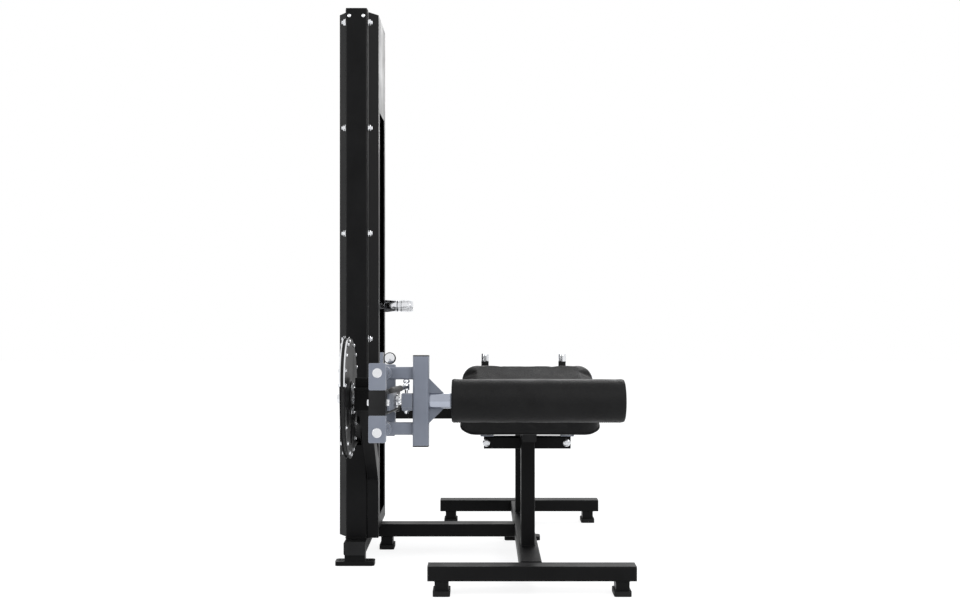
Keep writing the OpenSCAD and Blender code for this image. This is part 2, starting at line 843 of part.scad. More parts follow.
module carriage_frame() {
    color(blue_grey) at_arm() translate([0, -roller_reach, 0]) difference() {
        union() {
            for (u = [-1, 1]) {
                translate([arm_x, sleeve_l / 2, u * rod_gap / 2])
                    rotate([90, 0, 0]) cylinder(r = sleeve_r, h = sleeve_l, $fn = round_fn);
                translate([arm_x + rod_d / 2 + 2, 0, u * rod_gap / 2])
                    tube_x(post_x0 - arm_x - rod_d / 2 - 2, bar_d, bar_h);
            }
            translate([post_x0 + post_w / 2, 0, -post_h / 2 + 4])
                tube_z(post_h - 8, post_w, post_d);
            // Gussets above and below the shaft
            for (u = [0, 1]) mirror([0, 0, u])
                translate([post_x0 + post_w, weld_t / 2, roller_shaft_d / 2]) rotate([90, 0, 0])
                    linear_extrude(weld_t) polygon([[0, -4], [gusset, -4], [gusset, 0], [0, gusset]]);
        }
        for (u = [-1, 1]) translate([arm_x, sleeve_l, u * rod_gap / 2])
            rotate([90, 0, 0]) cylinder(d = rod_d + 2 * gap, h = 2 * sleeve_l, $fn = round_fn);
        along_x(post_x0 + post_w - 6, 0, 0) cylinder(d = roller_shaft_d, h = 80, $fn = round_fn);
    }
}

module carriage_caps() {
    color(black) at_arm()
        for (u = [0, 1]) mirror([0, 0, u])
            translate([post_x0 + post_w / 2, -roller_reach, post_h / 2 - 4]) {
                linear_extrude(4) round_rect(post_w, post_d, corner_r);
                translate([0, 0, -10])
                    linear_extrude(10.5)
                        round_rect(post_w - 2 * tube_wall - gap, post_d - 2 * tube_wall - gap, plug_r);
            }
}

module latch_block() {
    color(blue_grey) at_arm() translate([block_x0, -roller_reach, 0]) difference() {
        union() {
            rotate([90, 0, 90]) linear_extrude(block_w) round_rect(block_d, block_h, 5);
            translate([arm_x + arm_w / 2 + 2 * index_t - block_x0, -block_d / 2, -block_h / 2 - weld_t])
                cube([post_x0 - arm_x - arm_w / 2 - 2 * index_t, block_d, weld_t + 2]);
        }
        along_x(-1, 0, 0) cylinder(r = plunger_r + fit, h = block_w + 2, $fn = round_fn);
        // Slot for the lever's pin, with a bridge left across it as the pin's bearing
        for (z = [-block_h, bridge_t / 2]) translate([block_w / 2 - 6, -block_d, z])
            cube([12, block_d - plunger_r - 2, block_h - bridge_t / 2]);
        translate([block_w / 2, -lever_y, -block_h])
            cylinder(r = lever_r + fit, h = 2 * block_h, $fn = small_fn);
    }
}

module latch_plunger() {
    color(chrome) at_arm() {
        along_x(arm_x + arm_w / 2 + index_t + gap, -roller_reach, 0)
            cylinder(r = plunger_r, h = post_x0 - 13 - arm_x - arm_w / 2 - index_t - gap, $fn = round_fn);
        along_x(block_x0 - 26, -roller_reach, 0) rotate_extrude($fn = round_fn) polygon([[0, 0], [18, 0],
            [21, 3], [21, 7], [13, 9], [13, 14], [0, 14]]);
    }
}

module latch_lever() {
    top = block_h / 2 + 26;
    color(chrome) at_arm() translate([block_x0 + block_w / 2, -roller_reach - lever_y, 0]) {
        translate([0, 0, -block_h / 2 - weld_t - 2])
            cylinder(r = lever_r, h = block_h / 2 + weld_t + 2 + top, $fn = small_fn);
        translate([0, 0, -block_h / 2 - weld_t - 10])
            cylinder(r1 = 3, r2 = lever_r + 3, h = 8, $fn = small_fn);
        translate([0, 0, top])
            rotate_extrude($fn = small_fn) polygon([[0, 0], [9, 0], [10.5, 3], [9, 8], [0, 11]]);
        // Hand lever toward the foot end
        translate([0, 0, block_h / 2 + 14]) rotate([90, 0, -lever_angle]) {
            translate([0, 0, -8]) cylinder(d = lever_d, h = lever_l + 8, $fn = small_fn);
            translate([0, 0, lever_l]) sphere(d = lever_d + 5, $fn = small_fn);
        }
    }
}

module roller_shaft() {
    color(blue_grey) at_arm() translate([0, -roller_reach, 0]) difference() {
        along_x(post_x0 + post_w - 6, 0, 0)
            cylinder(d = roller_shaft_d, h = roller_x0 + roller_l - post_x0 - post_w - 12, $fn = round_fn);
        along_x(post_x0 + post_w - 7, 0, 0)
            cylinder(d = roller_shaft_d - 8, h = roller_x0 + roller_l, $fn = round_fn);
    }
}

module roller_bushes() {
    color(black) at_arm() translate([0, -roller_reach, 0])
        for (x = [roller_x0 + 2, roller_x0 + roller_l - bush_w - 14]) along_x(x, 0, 0) difference() {
            cylinder(r = roller_d / 2 - 22, h = bush_w, $fn = round_fn);
            translate([0, 0, -1])
                cylinder(r = roller_shaft_d / 2 + fit, h = bush_w + 2, $fn = round_fn);
        }
}

module roller_pad() {
    r = roller_d / 2;
    core = roller_d / 2 - 22;
    color(leather) at_arm() along_x(roller_x0, -roller_reach, 0) difference() {
        rotate_extrude($fn = 72) polygon(concat(
            [[0, 0]],
            [for (i = [0:6]) [r - 8 + 8 * sin(i * 15), 8 - 8 * cos(i * 15)]],
            [for (i = [0:6]) [r - 3 - 6 * (1 - cos(i * 15)), roller_l - 12 + 6 * sin(i * 15)]],
            [[r - 30, roller_l - 1], [0, roller_l]]));
        translate([0, 0, -1]) cylinder(r = core, h = roller_l - 13, $fn = round_fn);
    }
}

// Base frame

module crossbar(y) {
    translate([bench_x - crossbar_l / 2 + 4, y + tube_w / 2, base_clear + tube_h / 2])
        tube_x(crossbar_l - 8, tube_w, tube_h);
}

module foot_end_crossbar() { color(black) crossbar(foot_bar_y); }
module head_end_crossbar() { color(black) crossbar(head_bar_y); }

module base_spine() {
    color(black)
        translate([bench_x, foot_bar_y + tube_w, base_clear + tube_h / 2])
            tube_y(2 * spine_half, tube_w, tube_h);
}

module link_tube() {
    color(black)
        translate([frame_w / 2, 0, base_clear + tube_h / 2])
            tube_x(bench_x - tube_w / 2 - frame_w / 2, tube_w, tube_h);
}

// Tube from the front upright to the rail under the pads, with a wedge up to the rail
module upper_link() {
    x0 = frame_w / 2 + sheet_t;
    color(black) difference() {
        union() {
            translate([x0, -upright_y, upper_link_z + tube_h / 2])
                tube_x(bench_x + rail_w / 2 - x0, upright_d, tube_h);
            translate([bench_x - rail_w / 2, -tower_d / 2, upper_link_z + tube_h - 1])
                cube([rail_w, upright_d, rail_h]);
        }
        over_torso(rail_under);
    }
}

module base_caps() {
    color(black)
        for (y = [foot_bar_y, head_bar_y], s = [-1, 1])
            translate([bench_x + s * crossbar_l / 2, y + tube_w / 2, base_clear + tube_h / 2])
                rotate([90, 0, s * -90]) {
                    linear_extrude(4) round_rect(tube_w, tube_h, corner_r);
                    linear_extrude(14)
                        round_rect(tube_w - 2 * tube_wall - gap, tube_h - 2 * tube_wall - gap, plug_r);
                }
    color(black)
        for (s = [-1, 1])
            translate([0, s * tower_base_l / 2, tower_base_z + tube_h / 2])
                rotate([s * 90, 0, 0]) {
                    linear_extrude(4) round_rect(frame_w, tube_h, corner_r);
                    linear_extrude(14)
                        round_rect(frame_w - 2 * tube_wall - gap, tube_h - 2 * tube_wall - gap, plug_r);
                }
}

module at_feet() {
    for (y = [foot_bar_y, head_bar_y], s = [-1, 1])
        translate([bench_x + s * foot_offset, y + tube_w / 2, 0]) children();
    translate([link_foot_x, 0, 0]) children();
}

module foot_brackets() {
    color(black) {
        at_feet() translate([0, 0, rubber_h])
            linear_extrude(base_clear - rubber_h) round_rect(bracket_w, tube_w - 4, 4);
        // Wide foot plate under the spine
        translate([bench_x, spine_foot_y, 0]) {
            linear_extrude(foot_plate_t) round_rect(foot_plate_w, foot_plate_d, 12);
            translate([0, 0, foot_plate_t])
                linear_extrude(base_clear - foot_plate_t) round_rect(tube_w - 4, foot_plate_d - 8, 4);
        }
    }
}

module rubber_feet() {
    color(rubber) at_feet() linear_extrude(rubber_h) round_rect(rubber_w, rubber_d, 8);
}

// Bench

module thigh_frame() {
    translate([bench_x, apex_y, apex_z]) rotate([thigh_tilt, 0, 0]) children();
}

module torso_frame() {
    translate([bench_x, apex_y, apex_z]) rotate([-torso_tilt, 0, 0]) children();
}

apex_gap = 25;

// Height of a pad's plane, moved down by h square to it, at a place along Y
function slope_z(y, tilt, h) = apex_z - h / cos(tilt) + (y - apex_y) * tan(tilt);

// Everything above the plane h under the thigh pad's top, or under the torso pad's
module over_thigh(h) {
    thigh_frame() translate([-frame_w * 3, -thigh_pad_l * 2, -h])
        cube([frame_w * 6, thigh_pad_l * 3, thigh_pad_l]);
}

module over_torso(h) {
    torso_frame() translate([-frame_w * 3, -torso_pad_l, -h])
        cube([frame_w * 6, torso_pad_l * 3, thigh_pad_l]);
}

board_under = pad_t + board_t;
rail_under = board_under + rail_h;
rail_meet_y = apex_y + (board_under + rail_h / 2) * (1 / cos(thigh_tilt) - 1 / cos(torso_tilt))
    / (tan(thigh_tilt) + tan(torso_tilt));

module foot_end_column() {
    color(black) difference() {
        translate([bench_x, foot_column_y + tube_w / 2, link_top])
            tube_z(apex_z - link_top, column_w, tube_w);
        over_thigh(rail_under);
    }
}

module head_end_column() {
    color(black) difference() {
        translate([bench_x, head_column_y + tube_w / 2, link_top])
            tube_z(apex_z - link_top, column_w, tube_w);
        over_torso(rail_under);
    }
}

module bench_rails() {
    color(black) {
        // Both rails are cut upright where they meet
        difference() {
            thigh_frame() translate([0, -thigh_pad_l + 10, -rail_under + rail_h / 2])
                tube_y(thigh_pad_l, rail_w, rail_h);
            translate([bench_x - rail_w, rail_meet_y - fit, 0]) cube([2 * rail_w, rail_h * 2, apex_z]);
        }
        difference() {
            torso_frame() translate([0, 0, -rail_under + rail_h / 2])
                tube_y(torso_pad_l - 20, rail_w, rail_h);
            translate([bench_x - rail_w, rail_meet_y + fit - rail_h * 2, 0])
                cube([2 * rail_w, rail_h * 2, apex_z]);
        }
    }
}

module pad_crossbar() {
    color(black) difference() {
        translate([bench_x - cross_l / 2, cross_y + cross_h / 2, cross_z + cross_h / 2])
            tube_x(cross_l, cross_h, cross_h);
        for (s = [-1, 1]) translate([bench_x + s * hanger_x, cross_y - 1, cross_z + cross_h / 2])
            rotate([-90, 0, 0]) cylinder(r = 6, h = cross_h + 2, $fn = round_fn);
    }
}

// Channels that stand on the crossbar and carry the thigh pad's board
module pad_hangers() {
    top = slope_z(cross_y, thigh_tilt, board_under);
    base = cross_z + cross_h;
    color(blue_grey)
        for (s = [-1, 1]) difference() {
            translate([bench_x + s * hanger_x - channel_w / 2, cross_y + 4, base])
                cube([channel_w, channel_d, apex_z - base]);
            translate([bench_x + s * hanger_x - channel_w / 2 + channel_t, cross_y + 3, base + channel_t])
                cube([channel_w - 2 * channel_t, channel_d + 2, top - base - 2 * channel_t]);
            over_thigh(board_under);
        }
}

module pad_boards() {
    color(black) {
        thigh_frame() translate([0, -thigh_pad_l / 2 - apex_gap, -pad_t - board_t])
            linear_extrude(board_t) round_rect(thigh_pad_w - 90, thigh_pad_l - 70, 20);
        torso_frame() translate([0, torso_pad_l / 2 + apex_gap, -pad_t - board_t])
            linear_extrude(board_t) round_rect(torso_pad_w - 60, torso_pad_l - 60, 20);
    }
}

module thigh_pad() {
    color(leather) thigh_frame() translate([0, -thigh_pad_l / 2 - apex_gap, -pad_t])
        cushion(thigh_pad_w, thigh_pad_l, pad_t);
}

module torso_pad() {
    color(leather) torso_frame() translate([0, torso_pad_l / 2 + apex_gap, -pad_t])
        cushion(torso_pad_w, torso_pad_l, pad_t);
}

// Handles

handle_bar_z = slope_z(handle_y, -torso_tilt, rail_under + handle_d / 2 - 2 + 0.05);

module handle_bar() {
    color(black) {
        translate([bench_x - handle_x, handle_y, handle_bar_z])
            rotate([0, 90, 0]) cylinder(d = handle_d - 4, h = 2 * handle_x, $fn = round_fn);
        for (s = [-1, 1]) translate([bench_x + s * handle_x, handle_y, handle_bar_z - 15])
            cylinder(d = handle_d - 4, h = handle_top - handle_bar_z + 13, $fn = round_fn);
    }
}

module handle_grips() {
    color(rubber)
        for (s = [-1, 1]) translate([bench_x + s * handle_x, handle_y, handle_top - 32 - grip_l])
            difference() {
                cylinder(d = handle_d, h = grip_l, $fn = round_fn);
                translate([0, 0, -1]) cylinder(d = handle_d - 4, h = grip_l + 2, $fn = round_fn);
            }
}

module handle_caps() {
    color(chrome)
        for (s = [-1, 1]) translate([bench_x + s * handle_x, handle_y, handle_top - 32])
            difference() {
                cylinder(d = handle_d, h = 32, $fn = round_fn);
                translate([0, 0, -1]) cylinder(d = handle_d - 4, h = 31, $fn = round_fn);
            }
}

tower_base_tube();
tower_feet();
front_upright();
rear_upright();
top_beam();
outer_cover();
inner_cover();
frame_bolts();
guide_rods();
weight_plates();
stack_bumpers();
head_plate();
selector_rod();
selector_pin();
pulley_axles();
lower_pulley();
front_top_pulley();
rear_top_pulley();
lift_belt();
belt_drop();
pivot_strut();
bearing_housing();
pivot_bearings();
pivot_shaft();
cam();
cam_bolts();
cam_belt();
arm_tube();
arm_caps();
slide_yokes();
slide_rods();
stop_bumper();
index_bar();
carriage_frame();
carriage_caps();
latch_block();
latch_plunger();
latch_lever();
roller_shaft();
roller_bushes();
roller_pad();
foot_end_crossbar();
head_end_crossbar();
base_spine();
link_tube();
upper_link();
base_caps();
foot_brackets();
rubber_feet();
foot_end_column();
head_end_column();
bench_rails();
pad_crossbar();
pad_hangers();
pad_boards();
thigh_pad();
torso_pad();
handle_bar();
handle_grips();
handle_caps();
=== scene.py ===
import json
import math

import bmesh
import bpy
from mathutils import Matrix, Vector, noise
from mathutils.geometry import tessellate_polygon


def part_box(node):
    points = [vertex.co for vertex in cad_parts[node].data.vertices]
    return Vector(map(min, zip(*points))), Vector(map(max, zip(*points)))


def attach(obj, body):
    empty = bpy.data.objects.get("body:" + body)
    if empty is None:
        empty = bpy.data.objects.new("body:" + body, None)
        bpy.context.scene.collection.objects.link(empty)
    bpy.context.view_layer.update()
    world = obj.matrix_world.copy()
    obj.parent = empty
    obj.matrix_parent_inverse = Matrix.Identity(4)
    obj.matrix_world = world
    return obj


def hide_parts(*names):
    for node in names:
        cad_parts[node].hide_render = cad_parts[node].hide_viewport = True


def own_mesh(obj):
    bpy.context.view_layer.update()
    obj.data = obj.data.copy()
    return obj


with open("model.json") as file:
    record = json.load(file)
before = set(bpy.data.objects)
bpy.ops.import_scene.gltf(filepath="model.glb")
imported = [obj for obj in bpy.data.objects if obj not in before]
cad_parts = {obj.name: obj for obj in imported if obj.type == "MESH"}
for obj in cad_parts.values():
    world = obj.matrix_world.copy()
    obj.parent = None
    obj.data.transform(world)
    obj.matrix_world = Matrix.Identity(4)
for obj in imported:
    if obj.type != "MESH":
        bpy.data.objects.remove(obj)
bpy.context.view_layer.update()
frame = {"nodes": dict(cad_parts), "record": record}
NODES = frame["nodes"]
SCENE = bpy.context.scene


# Camera: level, along the machine from the foot end

camera_data = bpy.data.cameras.new("camera")
camera_data.sensor_width = 36.0
camera_data.lens = 46.09
camera_data.shift_y = -0.0034
camera = bpy.data.objects.new("camera", camera_data)
camera.location = (0.466, -4.905, 1.0)
camera.rotation_euler = (math.radians(90), 0, 0)
SCENE.collection.objects.link(camera)
SCENE.camera = camera
SCENE.view_settings.view_transform = "Standard"


# Materials

def add(tree, kind, **values):
    made = tree.nodes.new(kind)
    for key, value in values.items():
        setattr(made, key, value)
    return made


def new_material(name):
    """A material with its node tree, its shader and the place on the object that its textures use."""
    made = bpy.data.materials.new(name)
    made.use_nodes = True
    tree = made.node_tree
    shader = tree.nodes["Principled BSDF"]
    place = add(tree, "ShaderNodeTexCoord")
    return made, tree, shader, place.outputs["Object"]


def set_inputs(shader, **values):
    for key, value in values.items():
        shader.inputs[key.replace("_", " ")].default_value = value


def noise_node(tree, place, scale, detail=4.0, rough=0.6):
    made = add(tree, "ShaderNodeTexNoise")
    made.inputs["Scale"].default_value = scale
    made.inputs["Detail"].default_value = detail
    made.inputs["Roughness"].default_value = rough
    tree.links.new(place, made.inputs["Vector"])
    return made.outputs["Fac"]


def span(tree, value, low, high, start=0.3, end=0.7):
    """Maps start to end onto low to high."""
    made = add(tree, "ShaderNodeMapRange")
    made.inputs["From Min"].default_value = start
    made.inputs["From Max"].default_value = end
    made.inputs["To Min"].default_value = low
    made.inputs["To Max"].default_value = high
    tree.links.new(value, made.inputs["Value"])
    return made.outputs["Result"]


def colours(tree, value, dark, light, start=0.3, end=0.7):
    ramp = add(tree, "ShaderNodeValToRGB")
    ramp.color_ramp.elements[0].position = start
    ramp.color_ramp.elements[0].color = (*dark, 1)
    ramp.color_ramp.elements[1].position = end
    ramp.color_ramp.elements[1].color = (*light, 1)
    tree.links.new(value, ramp.inputs["Fac"])
    return ramp.outputs["Color"]


def bump(tree, shader, height, distance, strength, after=None):
    made = add(tree, "ShaderNodeBump")
    made.inputs["Strength"].default_value = strength
    made.inputs["Distance"].default_value = distance
    tree.links.new(height, made.inputs["Height"])
    if after is not None:
        tree.links.new(after, made.inputs["Normal"])
    tree.links.new(made.outputs["Normal"], shader.inputs["Normal"])
    return made.outputs["Normal"]


def edge_wear(tree, base, worn, radius=0.0018):
    """Mixes a worn colour in along edges: a bevelled normal against the true one."""
    bevel = add(tree, "ShaderNodeBevel", samples=4)
    bevel.inputs["Radius"].default_value = radius
    true = add(tree, "ShaderNodeNewGeometry")
    dot = add(tree, "ShaderNodeVectorMath", operation="DOT_PRODUCT")
    tree.links.new(bevel.outputs["Normal"], dot.inputs[0])
    tree.links.new(true.outputs["Normal"], dot.inputs[1])
    amount = span(tree, dot.outputs["Value"], 1.0, 0.0, 0.78, 0.97)
    mix = add(tree, "ShaderNodeMix", data_type="RGBA")
    tree.links.new(amount, mix.inputs["Factor"])
    tree.links.new(base, mix.inputs["A"])
    mix.inputs["B"].default_value = (*worn, 1)
    return mix.outputs["Result"]


def powder_coat(name, dark, light, worn, rough=(0.36, 0.5), specular=0.08):
    made, tree, shader, place = new_material(name)
    broad = noise_node(tree, place, 7.0, 3.0)
    fine = noise_node(tree, place, 900.0, 2.0)
    base = colours(tree, broad, dark, light)
    tree.links.new(edge_wear(tree, base, worn), shader.inputs["Base Color"])
    tree.links.new(span(tree, broad, rough[0], rough[1]), shader.inputs["Roughness"])
    set_inputs(shader, Specular_IOR_Level=specular)
    bump(tree, shader, fine, 0.00012, 0.35)
    return made


def polished(name, colour, rough=(0.06, 0.16), scratch=0.00002):
    made, tree, shader, place = new_material(name)
    broad = noise_node(tree, place, 25.0, 4.0)
    fine = noise_node(tree, place, 1400.0, 2.0)
    light = tuple(min(1.0, c * 1.08) for c in colour)
    tree.links.new(colours(tree, broad, colour, light), shader.inputs["Base Color"])
    tree.links.new(span(tree, broad, rough[0], rough[1]), shader.inputs["Roughness"])
    set_inputs(shader, Metallic=1.0)
    bump(tree, shader, fine, scratch, 0.5)
    return made


def leather_material(name):
    """Grained leather: cells bent by noise, over a slow unevenness."""
    made, tree, shader, place = new_material(name)
    cell = add(tree, "ShaderNodeTexVoronoi", feature="DISTANCE_TO_EDGE")
    cell.inputs["Scale"].default_value = 330.0
    warp = noise_node(tree, place, 60.0, 3.0)
    shift = add(tree, "ShaderNodeVectorMath", operation="MULTIPLY_ADD")
    shift.inputs[1].default_value = (0.004, 0.004, 0.004)
    tree.links.new(warp, shift.inputs[0])
    tree.links.new(place, shift.inputs[2])
    tree.links.new(shift.outputs["Vector"], cell.inputs["Vector"])
    pores = span(tree, cell.outputs["Distance"], 0.0, 1.0, 0.0, 0.35)
    broad = noise_node(tree, place, 14.0, 4.0)
    base = colours(tree, broad, (0.0045, 0.0045, 0.0047), (0.0090, 0.0090, 0.0092))
    tree.links.new(base, shader.inputs["Base Color"])
    tree.links.new(span(tree, broad, 0.40, 0.52), shader.inputs["Roughness"])
    set_inputs(shader, Specular_IOR_Level=0.12)
    first = bump(tree, shader, pores, 0.0005, 0.8)
    bump(tree, shader, broad, 0.0015, 0.25, after=first)
    return made


def rubber_material(name, colour, rough=(0.6, 0.8)):
    made, tree, shader, place = new_material(name)
    fine = noise_node(tree, place, 500.0, 3.0)
    broad = noise_node(tree, place, 12.0, 3.0)
    light = tuple(c * 1.7 + 0.004 for c in colour)
    tree.links.new(colours(tree, broad, colour, light), shader.inputs["Base Color"])
    tree.links.new(span(tree, broad, rough[0], rough[1]), shader.inputs["Roughness"])
    set_inputs(shader, Specular_IOR_Level=0.16)
    bump(tree, shader, fine, 0.0002, 0.5)
    return made


def wood_material(name):
    made, tree, shader, place = new_material(name)
    stretch = add(tree, "ShaderNodeMapping")
    stretch.inputs["Scale"].default_value = (30.0, 4.0, 260.0)
    tree.links.new(place, stretch.inputs["Vector"])
    grain = noise_node(tree, stretch.outputs["Vector"], 1.0, 6.0)
    base = colours(tree, grain, (0.012, 0.010, 0.009), (0.045, 0.038, 0.032))
    tree.links.new(base, shader.inputs["Base Color"])
    tree.links.new(span(tree, grain, 0.55, 0.75), shader.inputs["Roughness"])
    bump(tree, shader, grain, 0.0004, 0.4)
    return made


def belt_material(name):
    made, tree, shader, place = new_material(name)
    weave = add(tree, "ShaderNodeTexWave", bands_direction="X")
    weave.inputs["Scale"].default_value = 90.0
    weave.inputs["Distortion"].default_value = 0.6
    tree.links.new(place, weave.inputs["Vector"])
    base = colours(tree, weave.outputs["Fac"], (0.012, 0.012, 0.012), (0.03, 0.03, 0.03))
    tree.links.new(base, shader.inputs["Base Color"])
    tree.links.new(span(tree, weave.outputs["Fac"], 0.5, 0.7), shader.inputs["Roughness"])
    bump(tree, shader, weave.outputs["Fac"], 0.0004, 0.6)
    return made


def iron_material(name):
    made, tree, shader, place = new_material(name)
    cast = noise_node(tree, place, 160.0, 6.0)
    broad = noise_node(tree, place, 6.0, 3.0)
    base = colours(tree, broad, (0.02, 0.02, 0.021), (0.04, 0.04, 0.042))
    tree.links.new(edge_wear(tree, base, (0.10, 0.10, 0.10)), shader.inputs["Base Color"])
    tree.links.new(span(tree, cast, 0.45, 0.7), shader.inputs["Roughness"])
    set_inputs(shader, Specular_IOR_Level=0.4)
    bump(tree, shader, cast, 0.0004, 0.4)
    return made


MATERIAL = {
    "frame_black": powder_coat("frame_black", dark=(0.0042, 0.0042, 0.0044), light=(0.0068, 0.0068, 0.0071),
                               worn=(0.028, 0.028, 0.029)),
    "blue_grey": powder_coat("blue_grey", dark=(0.158, 0.174, 0.214), light=(0.196, 0.214, 0.258),
                             worn=(0.42, 0.44, 0.49), rough=(0.3, 0.42), specular=0.4),
    "blue_gloss": polished("blue_gloss", (0.36, 0.385, 0.45), rough=(0.10, 0.16)),
    "zinc": polished("zinc", (0.62, 0.63, 0.65), rough=(0.18, 0.26)),
    "grip_grey": rubber_material("grip_grey", (0.050, 0.049, 0.048), rough=(0.45, 0.6)),
    "chrome": polished("chrome", (0.74, 0.75, 0.77)),
    "steel": polished("steel", (0.42, 0.42, 0.44), rough=(0.25, 0.4), scratch=0.00005),
    "iron": iron_material("iron"),
    "rubber": rubber_material("rubber", (0.006, 0.006, 0.006)),
    "leather": leather_material("leather"),
    "board": wood_material("board"),
    "belt": belt_material("belt"),
    "plastic": rubber_material("plastic", (0.0065, 0.0065, 0.0068), rough=(0.38, 0.55)),
}
for entry in frame["record"]["subparts"]:
    mesh = NODES[entry["node"]].data
    mesh.materials.clear()
    mesh.materials.append(MATERIAL[entry["material_slot"]])


# Mesh helpers


def link_mesh(name, bm, finish, body, angle=35):
    """Makes a smooth-shaded piece, with sharp edges above an angle."""
    mesh = bpy.data.meshes.new(name)
    bmesh.ops.recalc_face_normals(bm, faces=bm.faces)
    bm.to_mesh(mesh)
    bm.free()
    made = bpy.data.objects.new(name, mesh)
    SCENE.collection.objects.link(made)
    mesh.materials.append(MATERIAL[finish])
    mesh.shade_smooth()
    mesh.set_sharp_from_angle(angle=math.radians(angle))
    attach(made, body)
    return made


def circle(radius, count):
    """Points (x, y) round the origin."""
    turns = [2 * math.pi * i / count for i in range(count)]
    return [(radius * math.cos(turn), radius * math.sin(turn)) for turn in turns]


def corner_arcs(half_x, half_y, r, steps):
    """Points (x, y) round a rectangle with round corners."""
    points = []
    for x, y, start in ((half_x - r, half_y - r, 0), (r - half_x, half_y - r, 90),
                        (r - half_x, r - half_y, 180), (half_x - r, r - half_y, 270)):
        for i in range(steps + 1):
            turn = math.radians(start + 90 * i / steps)
            points.append((x + r * math.cos(turn), y + r * math.sin(turn)))
    return points


def ring_faces(bm, low, high):
    for i in range(len(low)):
        j = (i + 1) % len(low)
        bm.faces.new((low[i], low[j], high[j], high[i]))


def skin(bm, rings, closed=False):
    """Walls from each ring of vertices to the next, with a face on both ends unless the run is closed."""
    for low, high in zip(rings, rings[1:]):
        ring_faces(bm, low, high)
    if closed:
        ring_faces(bm, rings[-1], rings[0])
    else:
        bm.faces.new(list(reversed(rings[0])))
        bm.faces.new(rings[-1])


def lathe(bm, profile, place, segments=64):
    """Turns (radius, distance) points about the local Z of a 4x4 matrix."""
    rings = []
    for radius, along in profile:
        points = circle(radius, segments if radius > 1e-6 else 1)
        rings.append([bm.verts.new(place @ Vector((x, y, along))) for x, y in points])
    for low, high in zip(rings, rings[1:]):
        if len(low) == len(high):
            ring_faces(bm, low, high)
            continue
        tip, rim = (low[0], high) if len(low) == 1 else (high[0], low)
        for i in range(segments):
            bm.faces.new((tip, rim[i], rim[(i + 1) % segments]))


def facing(axis):
    """Matrix that turns local Z to a direction."""
    return Vector((0, 0, 1)).rotation_difference(Vector(axis)).to_matrix().to_4x4()


def at(x, y, z, axis=(0, 0, 1)):
    return Matrix.Translation((x, y, z)) @ facing(axis)


def lifted(place, height):
    """The matrix moved along its local Z."""
    return place @ Matrix.Translation((0, 0, height))


def tube_path(bm, points, radius, sides=8, closed=False, ripple=1.0):
    """Round tube along points. Every second ring's radius is multiplied by ripple."""
    rings = []
    side = None
    for i, point in enumerate(points):
        before = points[i - 1] if closed or i else point
        after = points[(i + 1) % len(points)] if closed or i < len(points) - 1 else point
        along = (after - before).normalized()
        side = along.orthogonal() if side is None else side - along * side.dot(along)
        side.normalize()
        other = along.cross(side)
        ring = circle(radius * (ripple if i % 2 else 1.0), sides)
        rings.append([bm.verts.new(point + side * x + other * y) for x, y in ring])
    skin(bm, rings, closed)


def block(bm, place, low, high, edge=0.0015):
    """Box between two local corners, with its edges bevelled."""
    made = bmesh.ops.create_cube(bm, size=1.0)["verts"]
    low, high = Vector(low), Vector(high)
    for v in made:
        v.co = Vector([low[k] + (high[k] - low[k]) * (v.co[k] + 0.5) for k in range(3)])
    edges = [e for e in bm.edges if e.verts[0] in made]
    grown = bmesh.ops.bevel(bm, geom=edges, offset=edge, segments=2, affect="EDGES")["verts"]
    for v in {v for v in made if v.is_valid} | set(grown):
        v.co = place @ v.co


# Sizes that the pieces share with the solids, in metres

BENCH_X = 0.640
PIVOT = Vector((0, -0.665, 0.648))
TILT = math.radians(3.6)
ALONG = Vector((0, -math.cos(TILT), math.sin(TILT)))
UP = Vector((0, math.sin(TILT), math.cos(TILT)))
ARM_X, ARM_W = 0.163, 0.050
# The roller's distance from the pivot, the post's face toward it, and the radius of its shaft
ROLLER_REACH = 0.314
POST_W = 0.050
POST_X1 = 0.303
SHAFT_R = 0.024


def on_arm(x, along, up=0.0):
    """Point that lies along the arm from the pivot and up from its middle line."""
    return Vector((x, PIVOT.y, PIVOT.z)) + ALONG * along + UP * up


def arm_matrix(x, along, up=0.0):
    """Local X stays, local Y points back along the arm and local Z up from it."""
    turn = Matrix((Vector((1, 0, 0)), -ALONG, UP)).transposed().to_4x4()
    return Matrix.Translation(on_arm(x, along, up)) @ turn


# Cushions

APEX = Vector((BENCH_X, -0.326, 0.765))
PAD_T = 0.088
BOARD_T = 0.015
THIGH_TILT = 23.5
CLOTH_FRAMES = 20


def pad_matrix(tilt_degrees, middle_y):
    """Local XY is the top of the board, with its origin middle_y from the apex along the slope."""
    turn = Matrix.Rotation(math.radians(tilt_degrees), 4, "X")
    return Matrix.Translation(APEX) @ turn @ Matrix.Translation((0, middle_y, -PAD_T))


def rounded_slab(width, length, thick, plan_r, edge_r, inset):
    """Closed slab of rings: bottom at z = 0, top at z = thick, corners rounded in plan and edge."""
    bm = bmesh.new()
    low_r, least_r = 0.014, 0.012

    def outline(shrink, z):
        half_x, half_y = width / 2 - inset - shrink, length / 2 - inset - shrink
        points = corner_arcs(half_x, half_y, max(plan_r - shrink, least_r), 8)
        return [bm.verts.new((x, y, z)) for x, y in points]

    rings = []
    for degrees in (15, 40, 65, 90):
        turn = math.radians(degrees)
        rings.append(outline(low_r * (1 - math.sin(turn)), low_r * (1 - math.cos(turn))))
    for degrees in range(0, 85, 12):
        turn = math.radians(degrees)
        rings.append(outline(edge_r * (1 - math.cos(turn)), thick - edge_r * (1 - math.sin(turn))))
    skin(bm, rings)
    return bm


